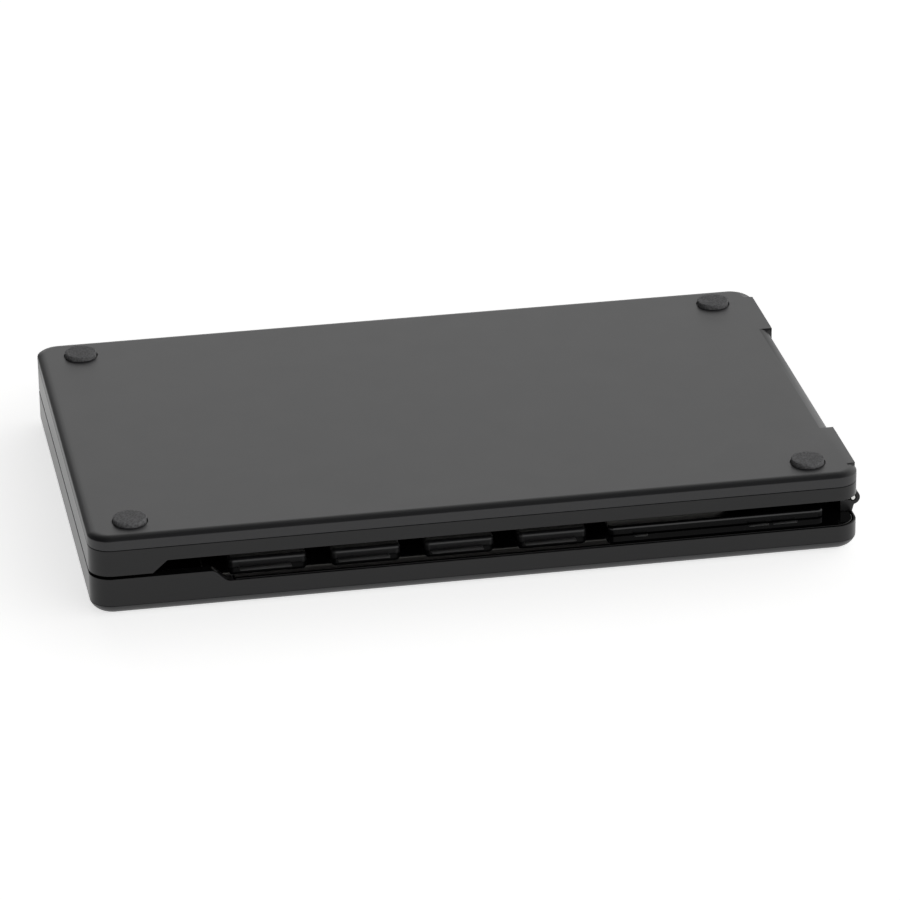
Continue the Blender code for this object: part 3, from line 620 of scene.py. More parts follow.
@dataclass(frozen=True)
class Case:
    """Sizes that both halves share."""

    length: float = 150.0
    width: float = 98.3
    corner: float = 4.6
    wall: float = 2.4
    split_gap: float = 0.07
    edge: float = 0.10
    corner_steps: int = 18
    roll_steps: int = 10
    block_start: float = 5.4
    block_end: float = 23.0
    block_recess: float = 0.9
    block_draft: float = 0.2
    window_corner: float = 141.0
    window_end: float = 6.85
    lead_y: float = 73.5
    lead_slot_half: float = 2.8
    lead_slot_depth: float = 3.0

    def outline(self, inset: float) -> list[Point]:
        """The case's plan outline, moved in by inset."""
        low, high = (inset, inset), (self.length - inset, self.width - inset)
        return rounded_rectangle(low, high, self.corner - inset, self.corner_steps)

    def block_outline(self, inset: float, block_inset: float) -> list[Point]:
        """The outline with its hinge side set back between the two hinge blocks."""
        radius, corner, steps = self.corner - inset, self.corner, self.corner_steps
        start, end = self.block_start + block_inset / 4, self.block_end - block_inset / 4
        right, back = self.length - corner, self.width - corner
        side, out = self.length - self.block_recess - inset, self.length - block_inset
        foot, lead_in = self.length - inset, start - self.block_draft
        points = arc((corner, corner), radius, 180, 270, steps)
        points += arc((right, corner), radius, 270, 360, steps)
        points += [(foot, lead_in), (out, start), (out, end), (side, end), (side, self.width - end)]
        points += [(out, self.width - end), (out, self.width - start), (foot, self.width - lead_in)]
        points += arc((right, back), radius, 0, 90, steps)
        return points + arc((corner, back), radius, 90, 180, steps)

    def roll(
        self,
        outline_at: Callable[[float], list[Point]],
        radius: float,
        sweep: float,
        flat: float,
        side: int,
    ) -> list[Ring]:
        """Rings of a rolled edge, from its crease to the flat face.

        Args:
            outline_at: Gives the outline at an inset.
            radius: The roll's radius.
            sweep: How far it turns, in degrees.
            flat: Height of the flat face.
            side: 1 where the flat face is on top, -1 where it is underneath.

        Returns:
            The rings.
        """
        rings = []
        for i in range(self.roll_steps + 1):
            turn = math.radians(sweep) * (1 - i / self.roll_steps)
            inset = radius * (math.sin(math.radians(sweep)) - math.sin(turn))
            rings.append((outline_at(inset), flat - side * radius * (1 - math.cos(turn))))
        return rings

    def at_block_end(self, spot: Vector) -> bool:
        """Whether a place is on an end face of a hinge block, where the roll runs out."""
        along, slack = min(spot.y, self.width - spot.y), 0.05
        spans = ((self.block_start - self.block_draft, self.block_start), (self.block_end, self.block_end))
        near = any(low - slack < along < high + slack for low, high in spans)
        return near and spot.x > self.length - 2 * self.corner

    def both_ends(self, front: float, back: float) -> tuple[Point, Point]:
        """A stretch along Y, and the same stretch at the other end of the hinge."""
        return (front, back), (self.width - back, self.width - front)

    def lead_slot(self, bottom: float, top: float) -> Item:
        """The tool that opens a wall for the lead."""
        low = (self.length - self.wall - self.lead_slot_depth, self.lead_y - self.lead_slot_half)
        high = (self.length + 1.0, self.lead_y + self.lead_slot_half)
        return block("lead_slot", (*low, bottom), (*high, top))


@dataclass(frozen=True)
class Hinge:
    """Two knuckle hinges along the short side, each a barrel between two lugs on a pin."""

    x: float = 150.15
    z: float = 8.03
    radius: float = 1.43
    room: float = 1.75
    bore: float = 0.66
    pin_chamfer: float = 0.14
    lug_start: float = 7.0
    lug_width: float = 1.5
    barrel_start: float = 8.7
    barrel_end: float = 21.2
    gap: float = 0.2
    root_x: float = 147.4
    sides: int = 40

    def round_bar(self, name: str, radius: float, front: float, back: float) -> Item:
        """A bar along the hinge axis."""
        outline = circle((self.x, self.z), radius, self.sides)
        return loft(name, [(outline, front), (outline, back)], lying=True)

    def lug_starts(self) -> tuple[float, float]:
        """Where the outer and the inner lug of the front hinge start."""
        return self.lug_start, self.barrel_end + self.gap

    def lug(self, front: float, back: float, seat: float) -> Item:
        """A lug that stands on the wall under it and wraps the pin."""
        profile = [(self.root_x, seat - 0.5), (149.8, seat - 0.5)]
        profile += arc((self.x, self.z), self.radius, -80, 150, 30)
        return loft("lug", [(profile, front), (profile, back)], lying=True)

    def build_pins(self) -> None:
        """The two steel pins, with chamfered ends."""
        for end in ("front", "back"):
            low, high = corners(f"hinge_pin_{end}")
            radius = (high.x - low.x) / 2
            small = radius - self.pin_chamfer
            steps = (
                (small, low.y),
                (radius, low.y + self.pin_chamfer),
                (radius, high.y - self.pin_chamfer),
                (small, high.y),
            )
            rings = [(circle((self.x, self.z), r, self.sides), y) for r, y in steps]
            pin = loft(f"steel_pin_{end}", rings, lying=True)
            soften(pin, 0.03, 2)
            fit(pin, Body.CONTROL, PIN_STEEL, (f"hinge_pin_{end}",))


@dataclass
class ControlHalf:
    """The lower half of the closed scale: dished cover, frame, plate, keys and display."""

    case: Case
    hinge: Hinge
    roll_radius: float = 3.0
    roll_sweep: float = 72.0
    floor: float = 1.2
    ledge_width: float = 2.0
    ledge_top: float = 4.2
    rim: float = 7.73
    slope_start: float = 22.95
    slope_end: float = 26.6
    lip: float = 0.45
    tongue_start: float = 27.6
    tongue_gap: float = 0.3
    cap_gap: float = 0.3
    cap_lug: float = 1.3
    lug_slot_half: float = 2.2
    key_shy: float = 0.4
    key_corner: float = 1.3

    @property
    def split(self) -> float:
        """Height of the crease where cover and frame meet."""
        return self.roll_radius * (1 - math.cos(math.radians(self.roll_sweep)))

    @property
    def plate_top(self) -> float:
        """Height of the glossy plate's face."""
        return corners("face_plate")[1].z

    def build_cover(self) -> None:
        """The underside, with its countersunk screws and two openings for the turn caps."""
        case = self.case
        rings = [(case.outline(case.wall), self.floor), (case.outline(case.wall), self.split)]
        rings += case.roll(case.outline, self.roll_radius, self.roll_sweep, 0.0, -1)
        cover = loft("moulded_underside", rings)
        for number in (1, 2):
            x, y = middle(f"coin_cell_{number}")
            radius = (corners(f"battery_cap_{number}")[1].y - y) + self.cap_gap
            shape(cover, turned("opening", [(radius, -1.0), (radius, 3.0)], (x, y), 72), Cut.TAKE)
            reach = radius + self.cap_lug
            half = self.lug_slot_half
            slot = block("slot", (x - half, y - reach, -1.0), (x + half, y + reach, 3.0))
            shape(cover, slot, Cut.TAKE)
        for number in range(1, 5):
            sink = [(2.4, -0.6), (2.4, 0.2), (1.3, 1.3), (1.3, 3.0)]
            shape(cover, turned("sink", sink, middle(f"control_screw_{number}")), Cut.TAKE)
        soften(cover, case.edge)
        fit(cover, Body.CONTROL, COVER_ABS, ("control_cover",))

    def slope(self, high: float, low: float, steps: int = 24) -> list[Point]:
        """The smooth S-shaped run down into the window."""
        run = []
        for i in range(steps + 1):
            share = i / steps
            x = self.slope_start + (self.slope_end - self.slope_start) * share
            run.append((x, low + (high - low) * (1 + math.cos(math.pi * share)) / 2))
        return run

    def build_frame(self) -> None:
        """The walls, with the window's lower edge, the ledge and the four hinge lugs."""
        case, hinge = self.case, self.hinge
        bottom, ledge = self.split + case.split_gap / 2, case.wall + self.ledge_width
        levels = [(0.0, bottom), (0.0, self.rim), (case.wall, self.rim)]
        levels += [(case.wall, self.ledge_top), (ledge, self.ledge_top), (ledge, bottom)]
        walls = loft("moulded_control_frame", [(case.outline(i), z) for i, z in levels], closed=True)

        above, sill = self.rim + 1.0, self.plate_top
        window = self.slope(self.rim, sill) + [(case.window_corner + 1.0, sill)]
        window += [(case.window_corner + 1.0, above), (self.slope_start - 1.0, above)]
        window.append((self.slope_start - 1.0, self.rim))
        tool = loft("window", [(window, -1.0), (window, case.wall + 0.1)], lying=True)
        shape(walls, tool, Cut.TAKE)
        low, high = (case.window_corner, -1.0, sill), (case.length + 2.0, case.window_end, above)
        shape(walls, block("window_corner", low, high), Cut.TAKE)
        shape(walls, self.tongue_pocket(above + 1.0), Cut.TAKE)

        for front, back in case.both_ends(hinge.barrel_start - hinge.gap, hinge.barrel_end + hinge.gap):
            shape(walls, hinge.round_bar("room", hinge.room, front, back), Cut.TAKE)
        for start in hinge.lug_starts():
            for front, back in case.both_ends(start, start + hinge.lug_width):
                shape(walls, hinge.lug(front, back, sill), Cut.ADD)
        end = hinge.barrel_end + hinge.gap + hinge.lug_width + 1.0
        for front, back in case.both_ends(hinge.lug_start - 1.0, end):
            shape(walls, hinge.round_bar("bore", hinge.bore, front, back), Cut.TAKE)
        shape(walls, case.lead_slot(2.5, above), Cut.TAKE)
        soften(walls, case.edge)
        fit(walls, Body.CONTROL, CASE_ABS, ("control_frame",))

    def tongue_pocket(self, top: float) -> Item:
        """The tool that leaves only a thin lip in front of the plate's tongue."""
        case = self.case
        start, right = self.tongue_start - self.tongue_gap, case.length - case.corner
        outline = [(start, self.lip)]
        outline += arc((right, case.corner), case.corner - self.lip, 270, 360, case.corner_steps)
        outline += [(case.length - self.lip, case.window_end), (right, case.window_end)]
        outline += [(right, case.wall + 1.0), (start, case.wall + 1.0)]
        return loft("tongue_pocket", [(outline, self.ledge_top - 0.1), (outline, top)])

    def build_plate(self) -> None:
        """The glossy plate, whose tongue runs out into the window."""
        case, gap = self.case, self.tongue_gap
        inset, reach, end = case.wall + gap, self.lip + gap, case.window_end - gap
        corner, steps = case.corner, case.corner_steps
        right, back = case.length - corner, case.width - corner
        outline = arc((corner, corner), corner - inset, 180, 270, steps)
        outline += [(self.tongue_start, inset), (self.tongue_start, reach)]
        outline += arc((right, corner), corner - reach, 270, 360, steps)
        outline += [(case.length - reach, end), (case.length - inset, end)]
        outline += arc((right, back), corner - inset, 0, 90, steps)
        outline += arc((corner, back), corner - inset, 90, 180, steps)
        low, high = corners("face_plate")
        plate = loft("acrylic_plate", [(outline, low.z), (outline, high.z)])
        for number in range(1, 5):
            first, last = corners(f"key_{number}")
            near = (first.x + self.key_shy, first.y + self.key_shy, low.z - 1)
            far = (last.x - self.key_shy, last.y - self.key_shy, high.z + 1)
            shape(plate, block("key_opening", near, far, self.key_corner), Cut.TAKE)
        first, last = corners("lcd_glass")
        opening = (first.x - gap, first.y - gap, low.z - 1), (last.x + gap, last.y + gap, high.z + 1)
        shape(plate, block("lcd_opening", *opening), Cut.TAKE)
        soften(plate, 0.10)
        fit(plate, Body.CONTROL, PLATE_ACRYLIC, ("face_plate",))


@dataclass
class KeyRow:
    """Four keys with a print mark on the plate in front of each."""

    flange: float = 0.6
    round_edge: float = 0.8
    corner: float = 1.1
    flange_height: float = 0.7
    mark_width: float = 10.1
    mark_depth: float = 1.9
    mark_shift: float = -0.6
    display_marks: tuple[Point, ...] = ((105.9, 108.7), (128.6, 132.6), (133.4, 138.3))
    ink: float = 0.02
    steps: int = 8

    def build_keys(self) -> None:
        """Each key: a flange that holds it under the plate and a well-rounded cap."""
        for number in range(1, 5):
            low, high = corners(f"key_{number}")

            def ring(inset: float, z: float) -> Ring:
                """The key's outline at an inset from its flange."""
                first, last = (low.x + inset, low.y + inset), (high.x - inset, high.y - inset)
                radius = self.corner + self.flange - inset
                return rounded_rectangle(first, last, radius, self.steps), z

            rings = [ring(0.0, low.z), ring(0.0, low.z + self.flange_height)]
            rings.append(ring(self.flange, low.z + self.flange_height))
            for inset, drop in quarter_round(self.round_edge, self.steps):
                rings.append(ring(self.flange + inset, high.z - drop))
            key = loft(f"moulded_key_{number}", rings)
            soften(key, 0.06)
            fit(key, f"key_{number}", KEY_ABS, (f"key_{number}",))

    def build_marks(self) -> None:
        """A plain printed bar in front of each key, and three in front of the display."""
        top = corners("face_plate")[1].z
        spans = []
        for number in range(1, 5):
            low, _ = corners(f"key_{number}")
            front = low.y + self.flange
            x = middle(f"key_{number}")[0] + self.mark_shift
            half = self.mark_width / 2
            spans.append((x - half, x + half, front - self.mark_depth, front - 0.05))
        front = corners("display_bezel")[0].y
        for first, last in self.display_marks:
            spans.append((first, last, front - 1.3, front - 0.2))
        for number, (left, right, near, far) in enumerate(spans, 1):
            low, high = (left, near, top + 0.01), (right, far, top + 0.01 + self.ink)
            mark = block(f"printed_mark_{number}", low, high, 0.25)
            fit(mark, Body.CONTROL, PRINT_INK)


@dataclass
class Display:
    """Raised gloss bezel, clear window and glass with a plain seven-segment reading."""

    rim: float = 3.0
    front_rim: float = 4.0
    round_edge: float = 0.6
    corner: float = 1.4
    digit_width: float = 4.6
    digit_height: float = 8.4
    digit_pitch: float = 7.0
    stroke: float = 0.85
    reading: str = "0.00"
    steps: int = 8

    # Which of the seven bars a nought lights, from the top one clockwise to the middle one.
    NOUGHT = (True, True, True, True, True, True, False)

    def build(self) -> None:
        """All of the display's pieces."""
        low, high = corners("display_bezel")

        def ring(inset: float, z: float) -> Ring:
            """The bezel's outline at an inset."""
            first, last = (low.x + inset, low.y + inset), (high.x - inset, high.y - inset)
            return rounded_rectangle(first, last, self.corner - min(inset, 0.6), self.steps), z

        rings = [ring(0.0, low.z)]
        for inset, drop in quarter_round(self.round_edge, self.steps):
            rings.append(ring(inset, high.z - drop))
        bezel = loft("gloss_bezel", rings)
        first = (low.x + self.rim, low.y + self.front_rim, low.z - 1.0)
        last = (high.x - self.rim, high.y - self.rim, high.z + 1.0)
        shape(bezel, block("opening", first, last, 0.8), Cut.TAKE)
        soften(bezel, 0.12)
        fit(bezel, Body.CONTROL, BEZEL_GLOSS, ("display_bezel",))

        window = block("clear_window", *(tuple(c) for c in corners("display_lens")), 0.6)
        soften(window, 0.12)
        fit(window, Body.CONTROL, WINDOW_ACRYLIC, ("display_lens",))
        glass = block("display_glass", *(tuple(c) for c in corners("lcd_glass")))
        soften(glass, 0.08, 2)
        fit(glass, Body.CONTROL, LCD_GLASS, ("lcd_glass",))
        fit(self.digits(), Body.CONTROL, LCD_SEGMENT)

    def bar(self, bm: bmesh.types.BMesh, start: Point, end: Point, z: float) -> None:
        """Add one pointed bar of a digit to a mesh."""
        along = Vector(end) - Vector(start)
        across = Vector((-along.y, along.x)).normalized() * self.stroke / 2
        tip = along.normalized() * self.stroke / 2
        first, last = Vector(start) + tip * 0.2, Vector(end) - tip * 0.2
        outline = [first, first + tip + across, last - tip + across, last]
        outline += [last - tip - across, first + tip - across]
        rows = [[bm.verts.new((p.x, p.y, level)) for p in outline] for level in (z, z + 0.03)]
        bm.faces.new(rows[0])
        bm.faces.new(rows[1])
        for i in range(len(outline)):
            bm.faces.new((rows[0][i - 1], rows[0][i], rows[1][i], rows[1][i - 1]))

    def digits(self) -> Item:
        """The reading's lit segments, on the glass."""
        glass_low, glass_high = corners("lcd_glass")
        z = glass_high.z + 0.02
        bm = bmesh.new()
        right = glass_high.x - 6.0
        bottom = (glass_low.y + glass_high.y - self.digit_height) / 2 - 0.5
        count = len(self.reading) - 1
        for place in range(count):
            x = right - place * self.digit_pitch - self.digit_width
            w, h = self.digit_width, self.digit_height
            points = {"a": (x, bottom + h), "b": (x + w, bottom + h), "c": (x + w, bottom + h / 2)}
            points |= {"d": (x + w, bottom), "e": (x, bottom), "f": (x, bottom + h / 2)}
            for lit, pair in zip(self.NOUGHT, ("ab", "bc", "cd", "de", "ef", "fa", "fc")):
                if lit:
                    self.bar(bm, points[pair[0]], points[pair[1]], z)
        x = right - 2 * self.digit_pitch + (self.digit_pitch - self.digit_width) / 2
        self.bar(bm, (x - 0.6, bottom), (x + 0.6, bottom), z)
        return solid("display_digits", bm)


@dataclass
class BatteryBay:
    """Turn caps over the coin cells, and the screws of the underside."""

    head_radius: float = 2.1
    ring_height: float = 1.8
    cell_room: float = 10.3
    lug_reach: float = 1.3
    arm: float = 1.15
    blade: float = 0.28
    face: float = 1.1
    slot: Spot = (6.5, 0.9, 0.6)
    thread_turns: int = 8
    thread_pitch: float = 0.22
    thread_depth: float = 0.14

    def build_caps(self) -> None:
        """Each cap: a disc with a coin slot, a ring that guides it and two locking lugs."""
        for number in (1, 2):
            low, high = corners(f"battery_cap_{number}")
            centre = middle(f"battery_cap_{number}")
            radius = (high.y - low.y) / 2
            face, inner, ring = self.face, self.cell_room, radius - 0.2
            profile = [(radius - 0.25, low.z), (radius, low.z + 0.25), (radius, face), (ring, face)]
            profile += [(ring, self.ring_height), (inner, self.ring_height), (inner, face + 0.01)]
            cap = turned(f"turn_cap_{number}", profile, centre, 96)
            x, y = centre
            for side in (-1, 1):
                span = sorted((x + side * (inner + 0.3), x + side * (radius + self.lug_reach)))
                lug = block("lug", (span[0], y - 1.6, 1.4), (span[1], y + 1.6, self.ring_height))
                shape(cap, lug, Cut.ADD)
            long, wide, deep = self.slot
            slot = block("coin_slot", (x - long, y - wide, -1.0), (x + long, y + wide, deep), 0.6)
            shape(cap, slot, Cut.TAKE)
            for i in range(3):
                near = y + 3.2 + 1.6 * i
                tick = block("tick", (x - 0.25, near, -1.0), (x + 0.25, near + 1.2, 0.25), 0.2)
                shape(cap, tick, Cut.TAKE)
            soften(cap, 0.10)
            fit(cap, f"battery_cap_{number}", INNER_ABS, (f"battery_cap_{number}",))

    def build_screws(self) -> None:
        """Countersunk cross-head screws of the control cover."""
        for number in range(1, 5):
            low, high = corners(f"control_screw_{number}")
            centre = middle(f"control_screw_{number}")
            head, shank = self.head_radius, 1.0
            profile = [(head - 0.1, low.z), (head, low.z + 0.1), (head, low.z + 0.15), (shank, 1.3)]
            for i in range(self.thread_turns):
                z = 1.5 + i * self.thread_pitch
                profile += [(shank, z), (shank - self.thread_depth, z + self.thread_pitch / 2)]
            profile.append((0.5, high.z))
            screw = turned(f"cross_screw_{number}", profile, centre, 40)
            x, y = centre
            for reach in ((self.arm, self.blade), (self.blade, self.arm)):
                first = (x - reach[0], y - reach[1], -0.2)
                last = (x + reach[0], y + reach[1], low.z + 0.6)
                shape(screw, block("recess", first, last), Cut.TAKE)
            soften(screw, 0.04, 2)
            fit(screw, Body.CONTROL, SCREW_ZINC, (f"control_screw_{number}",))


@dataclass
class WeighingHalf:
    """The upper half of the closed scale: cover with its foot pads, and the frame."""

    case: Case
    hinge: Hinge
    roll_radius: float = 2.8
    roll_sweep: float = 43.0
    split: float = 13.65
    ceiling: float = 15.15
    top: float = 16.3
    rim: float = 8.33
    deck_bottom: float = 10.8
    deck_top: float = 12.0
    slope_start: float = 11.85
    slope_end: float = 14.7
    pad_seat: float = 0.5
    pad_room: float = 0.2
    crease: float = 0.12

    def build_cover(self) -> None:
        """The dished cover, whose rolled edge stops at the two hinge blocks."""
        case = self.case

        def outline_at(inset: float) -> list[Point]:
            """The cover's outline, full length at the hinge blocks."""
            return case.block_outline(inset, 0.0)

        inner = case.block_outline(case.wall, case.wall)
        rings = [(inner, self.ceiling), (inner, self.split), (outline_at(0.0), self.split)]
        rings += case.roll(outline_at, self.roll_radius, self.roll_sweep, self.top, 1)
        cover = loft("moulded_foot_cover", rings)
        for number in range(1, 5):
            low, high = corners(f"foot_pad_{number}")
            seat, room = self.top - self.pad_seat, (high.x - low.x) / 2 + self.pad_room
            profile = [(1.3, self.ceiling - 0.5), (1.3, seat), (room, seat), (room, self.top + 1.0)]
            shape(cover, turned("pad_seat", profile, middle(f"foot_pad_{number}"), 64), Cut.TAKE)
        merge_flat(cover)
        soften(cover, self.crease, keen=case.at_block_end)
        fit(cover, Body.WEIGHING, COVER_ABS, ("base_cover",))

    def build_frame(self) -> None:
        """The walls and deck, with the window's upper edge and the hinge barrels."""
        case, hinge = self.case, self.hinge
        inner, outer = case.block_outline(case.wall, case.wall), case.block_outline(0.0, 0.0)
        upper = self.split - case.split_gap
        rings = [(inner, self.deck_bottom), (inner, self.rim), (outer, self.rim)]
        rings += [(outer, upper), (inner, upper), (inner, self.deck_top)]
        walls = loft("moulded_weighing_frame", rings)

        below, deck = self.rim - 1.0, self.deck_bottom
        window = [(self.slope_start, self.rim), (self.slope_end, deck), (case.window_corner + 1.0, deck)]
        window += [(case.window_corner + 1.0, below), (self.slope_start, below)]
        tool = loft("window", [(window, -1.0), (window, case.wall + 0.1)], lying=True)
        shape(walls, tool, Cut.TAKE)
        low, high = (case.window_corner, -1.0, below), (case.length + 2.0, case.window_end, deck)
        shape(walls, block("window_corner", low, high), Cut.TAKE)
        for front, back in case.both_ends(hinge.barrel_start, hinge.barrel_end):
            shape(walls, hinge.round_bar("barrel", hinge.radius, front, back), Cut.ADD)
            shape(walls, hinge.round_bar("bore", hinge.bore, front - 1.0, back + 1.0), Cut.TAKE)
        for start in hinge.lug_starts():
            for front, back in case.both_ends(start - hinge.gap, start + hinge.lug_width + hinge.gap):
                low = (hinge.root_x - 0.3, front, below)
                high = (case.length + 2.0, back, hinge.z + hinge.room)
                shape(walls, block("lug_room", low, high), Cut.TAKE)
        low, high = corners("load_cell")
        opening = (low.x - 2.0, low.y - 2.0, 9.0), (high.x + 2.0, high.y + 2.0, 13.0)
        shape(walls, block("load_cell_opening", *opening, 1.5), Cut.TAKE)
        shape(walls, case.lead_slot(below, self.split + 1.0), Cut.TAKE)
        soften(walls, case.edge)
        fit(walls, Body.WEIGHING, CASE_ABS, ("base_frame",))


@dataclass
class FootPads:
    """Four die-cut foam pads in the cover's seats."""

    sides: int = 120
    rings: int = 34
    edge: float = 0.22
    cell: float = 0.42
    depth: float = 0.07

    def build(self) -> None:
        """Each pad, with burst cells pressed into its face and rim."""
        for number in range(1, 5):
            low, high = corners(f"foot_pad_{number}")
            radius, centre = (high.x - low.x) / 2, middle(f"foot_pad_{number}")
            steps = [(radius - 0.05, low.z), (radius, low.z + 0.1), (radius, high.z - 0.5)]
            steps += [(radius, high.z - self.edge * 1.4)]
            steps += [(radius - inset, high.z - drop) for inset, drop in quarter_round(self.edge, 4)[1:]]
            flat = radius - self.edge
            steps += [(flat * (1 - i / self.rings), high.z) for i in range(1, self.rings)]
            pad = turned(f"foam_pad_{number}", steps, centre, self.sides)
            for vertex in pad.data.vertices:
                spot = (vertex.co - ORIGIN) / MM
                if spot.z < low.z + 0.2:
                    continue
                distances, _ = noise.voronoi(spot / self.cell)
                pit = max(0.0, 0.55 - distances[0]) * self.depth
                grain = (noise.noise(spot / (self.cell / 2)) + 1) * self.depth / 4
                vertex.co.z -= (pit + grain) * MM
            fit(pad, Body.WEIGHING, PAD_FOAM, (f"foot_pad_{number}",))


@dataclass
class Platform:
    """The steel pan that the load lies on, drawn from sheet with a turned-down skirt."""

    sheet: float = 0.6
    skirt: float = 0.5
    corner: float = 4.0
    edge: float = 0.4
    steps: int = 8

    def build(self) -> None:
        """The pan, open towards the load cell."""
        low, high = corners("weighing_platform")

        def ring(inset: float, z: float) -> Ring:
            """The pan's outline at an inset."""
            first, last = (low.x + inset, low.y + inset), (high.x - inset, high.y - inset)
            return rounded_rectangle(first, last, self.corner - inset, 14), z

        rings = [ring(self.skirt, low.z + self.sheet), ring(self.skirt, high.z), ring(0.0, high.z)]
        for inset, drop in quarter_round(self.edge, self.steps):
            rings.append(ring(inset, low.z + drop))
        pan = loft("steel_pan", rings)
        soften(pan, 0.05, 2)
        fit(pan, Body.PLATFORM, PLATFORM_STEEL, ("weighing_platform",))


@dataclass
class Lead:
    """A sleeved lead held by both halves, drawn as a smooth round tube."""

    node: str
    body: Body
    route: tuple[Spot, ...]
    radius: float = 0.6
    sides: int = 20
    steps: int = 10

    def points(self) -> list[Vector]:
        """Points of a smooth curve through the route."""
        ends = [Vector(spot) for spot in (self.route[0], *self.route, self.route[-1])]
        points = []
        for a, b, c, d in zip(ends, ends[1:], ends[2:], ends[3:]):
            for i in range(self.steps):
                t = i / self.steps
                bend = (2 * a - 5 * b + 4 * c - d) * t * t + (3 * b - a - 3 * c + d) * t**3
                points.append((2 * b + (c - a) * t + bend) / 2)
        points.append(ends[-1])
        return points

    def build(self) -> None:
        """The tube, its rings turned to follow the curve without twist."""
        points = self.points()
        bm = bmesh.new()
        loops = []
        across = Vector((0.0, 0.0, 1.0))
        for i, point in enumerate(points):
            along = (points[min(i + 1, len(points) - 1)] - points[max(i - 1, 0)]).normalized()
            across = (across - along * across.dot(along)).normalized()
            side = along.cross(across)
            turns = [2 * math.pi * k / self.sides for k in range(self.sides)]
            rim = [point + (across * math.cos(t) + side * math.sin(t)) * self.radius for t in turns]
            loops.append([bm.verts.new(spot) for spot in rim])
        for lower, upper in zip(loops, loops[1:]):
            for k, vertex in enumerate(lower):
                bm.faces.new((lower[k - 1], vertex, upper[k], upper[k - 1]))
        bm.faces.new(loops[0])
        bm.faces.new(loops[-1])
        fit(solid(f"sleeved_{self.node}", bm), self.body, LEAD_SLEEVE, (self.node,))


@dataclass(frozen=True)
class InnerPieces:
    """The frame's own solids that stay: nothing about their shape needs more."""

    finishes: tuple[tuple[Finish, tuple[str, ...]], ...] = (
        (INNER_ABS, ("battery_holder", "platform_carrier")),
        (GUIDE_WHITE, ("backlight_panel",)),
        (BOARD_MASK, ("main_board",)),
        (CHIP_EPOXY, ("controller_chip",)),
        (NYLON_WHITE, ("lead_socket", "gauge_cover")),
        (PLATFORM_STEEL, ("battery_contact_strip", "load_cell_shim")),
        (PLATFORM_STEEL, ("dome_switch_1", "dome_switch_2", "dome_switch_3", "dome_switch_4")),
        (CELL_NICKEL, ("coin_cell_1", "coin_cell_2")),
        (SCREW_ZINC, ("base_screw_1", "base_screw_2", "base_screw_3", "base_screw_4")),
        (SCREW_ZINC, ("load_cell_screw_1", "load_cell_screw_2")),
        (SCREW_ZINC, ("platform_screw_1", "platform_screw_2")),
        (CELL_ALUMINIUM, ("load_cell",)),
    )

    def dress(self) -> None:
        """Give each its finish."""
        for finish, names in self.finishes:
            for name in names:
                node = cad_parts[name]
                node.data.materials.clear()
                node.data.materials.append(finish.material())
                log.info("%s: %s", name, finish.name)


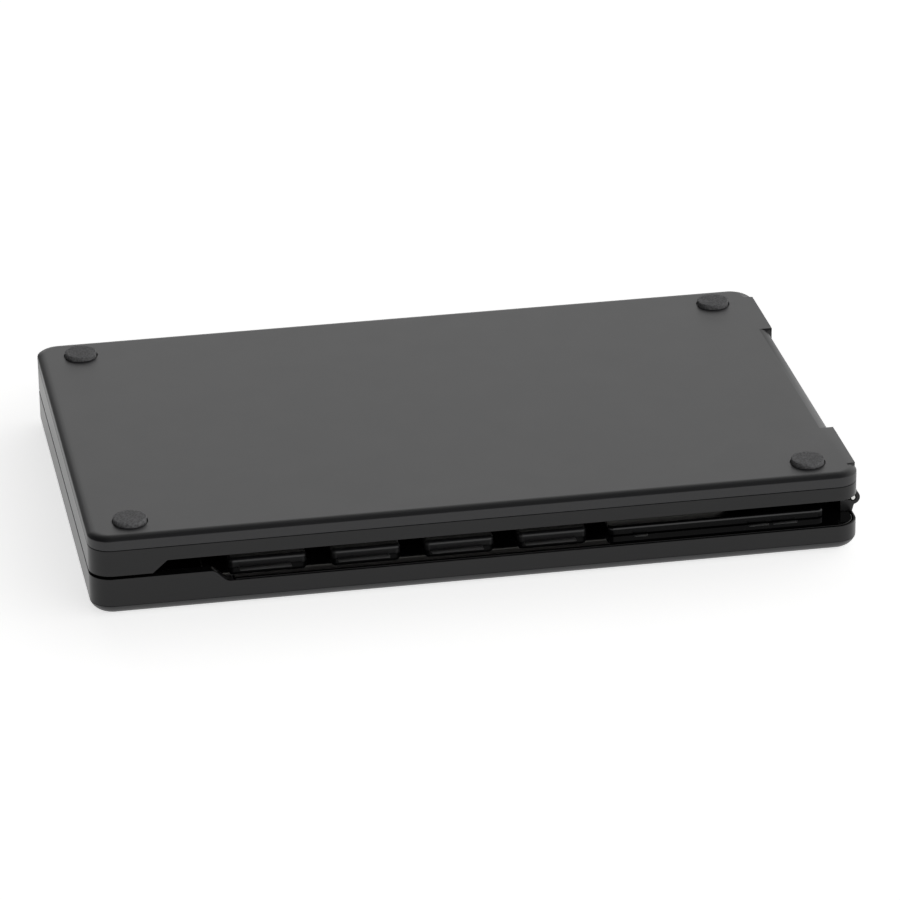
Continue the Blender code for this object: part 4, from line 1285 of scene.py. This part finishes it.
@dataclass
class Studio:
    """A white sweep: pale floor, bright horizon, dim overhead, and one camera."""

    azimuth: float = -9.72
    elevation: float = 23.70
    roll: float = -0.958
    place: Spot = (-0.16039, -0.94815, 0.42899)
    lens: float = 209.87
    sensor: float = 36.0
    floor_colour: str = "#f4f4f3"
    floor_glow: float = 0.68
    horizon: float = 1.18
    overhead: float = 0.18
    flank: float = 0.12

    def build_camera(self) -> None:
        """The camera, looking down at the front of the scale from its left."""
        camera = bpy.data.objects.new("camera", bpy.data.cameras.new("camera"))
        camera.data.lens = self.lens
        camera.data.sensor_width = self.sensor
        camera.data.clip_start = 0.01
        turn = Matrix.Rotation(math.radians(self.azimuth), 4, "Z")
        tilt = Matrix.Rotation(math.radians(90 - self.elevation), 4, "X")
        roll = Matrix.Rotation(math.radians(self.roll), 4, "Z")
        camera.matrix_world = Matrix.Translation(self.place) @ turn @ tilt @ roll
        bpy.context.scene.collection.objects.link(camera)
        bpy.context.scene.camera = camera

    def build_floor(self) -> None:
        """A back-lit pale floor, which keeps a faint shadow under the scale."""
        bm = bmesh.new()
        bmesh.ops.create_grid(bm, x_segments=8, y_segments=8, size=4.0)
        mesh = bpy.data.meshes.new("floor")
        bm.to_mesh(mesh)
        bm.free()
        floor = bpy.data.objects.new("floor", mesh)
        floor.location.z = -0.0001
        bpy.context.scene.collection.objects.link(floor)
        material = bpy.data.materials.new("opal_acrylic_floor")
        material.use_nodes = True
        shader = material.node_tree.nodes["Principled BSDF"]
        shader.inputs["Base Color"].default_value = linear(self.floor_colour)
        shader.inputs["Roughness"].default_value = 0.9
        shader.inputs["Specular IOR Level"].default_value = 0.1
        shader.inputs["Emission Color"].default_value = (1.0, 1.0, 1.0, 1.0)
        shader.inputs["Emission Strength"].default_value = self.floor_glow
        mesh.materials.append(material)

    def build_light(self) -> None:
        """Soft light from all round the horizon, falling off overhead."""
        world = bpy.data.worlds.new("studio")
        bpy.context.scene.world = world
        world.use_nodes = True
        tree = world.node_tree
        facing = add_node(tree, "ShaderNodeTexCoord", {}).outputs["Generated"]
        height = add_node(tree, "ShaderNodeSeparateXYZ", {}, {"Vector": facing})
        fall = add_node(
            tree,
            "ShaderNodeMapRange",
            {
                "interpolation_type": "SMOOTHSTEP",
                "From Min": 0.50,
                "From Max": 0.85,
                "To Min": self.horizon,
                "To Max": self.overhead,
            },
            {"Value": height.outputs["Z"]},
        )
        # A dark flag stands to the left of the scale, for its left rolled edge to mirror.
        shade = add_node(
            tree,
            "ShaderNodeMapRange",
            {
                "interpolation_type": "SMOOTHSTEP",
                "From Min": -0.34,
                "From Max": -0.06,
                "To Min": self.flank,
                "To Max": 1.0,
            },
            {"Value": height.outputs["X"]},
        )
        both = add_node(
            tree,
            "ShaderNodeMath",
            {"operation": "MULTIPLY"},
            {0: fall.outputs["Result"], 1: shade.outputs["Result"]},
        )
        tree.links.new(both.outputs[0], tree.nodes["Background"].inputs["Strength"])
        tree.nodes["Background"].inputs["Color"].default_value = (1.0, 1.0, 1.0, 1.0)

    def build(self) -> None:
        """Camera, floor and light."""
        self.build_camera()
        self.build_floor()
        self.build_light()
        bpy.context.scene.view_settings.view_transform = "Standard"


def leads() -> tuple[Lead, Lead]:
    """The two leads, which meet end to end on the hinge axis."""
    case, hinge = Case(), Hinge()
    y = case.lead_y
    weighing = (
        (hinge.x, y - 0.15, hinge.z),
        (hinge.x, y - 0.8, hinge.z + 0.1),
        (150.0, y - 1.4, 8.9),
        (149.3, y - 1.6, 10.2),
        (147.8, y - 1.6, 11.8),
        (145.0, y - 1.7, 13.0),
        (133.0, y - 4.5, 13.1),
        (117.0, y - 14.5, 13.1),
        (106.0, 53.0, 13.1),
        (99.0, case.width / 2, 13.1),
    )
    control = (
        (hinge.x, y + 0.15, hinge.z),
        (hinge.x, y + 0.8, hinge.z - 0.1),
        (150.0, y + 1.4, 7.2),
        (149.6, y + 1.6, 5.9),
        (148.7, y + 1.6, 4.2),
        (147.0, y + 1.6, 3.3),
        (145.0, y + 1.2, 3.2),
        (142.0, y - 3.0, 3.2),
        (140.0, 56.0, 3.2),
        (138.0, 48.0, 3.2),
        (135.5, 43.0, 3.2),
    )
    return (
        Lead("load_cell_lead", Body.WEIGHING, weighing),
        Lead("control_lead", Body.CONTROL, control),
    )


def main() -> None:
    """Build every piece."""
    logging.basicConfig(level=logging.INFO, format="%(name)s: %(message)s")
    case, hinge = Case(), Hinge()
    Studio().build()
    control = ControlHalf(case, hinge)
    control.build_cover()
    control.build_frame()
    control.build_plate()
    keys = KeyRow()
    keys.build_keys()
    keys.build_marks()
    Display().build()
    bay = BatteryBay()
    bay.build_caps()
    bay.build_screws()
    weighing = WeighingHalf(case, hinge)
    weighing.build_cover()
    weighing.build_frame()
    FootPads().build()
    Platform().build()
    hinge.build_pins()
    for lead in leads():
        lead.build()
    InnerPieces().dress()


if __name__ == "__main__":
    main()
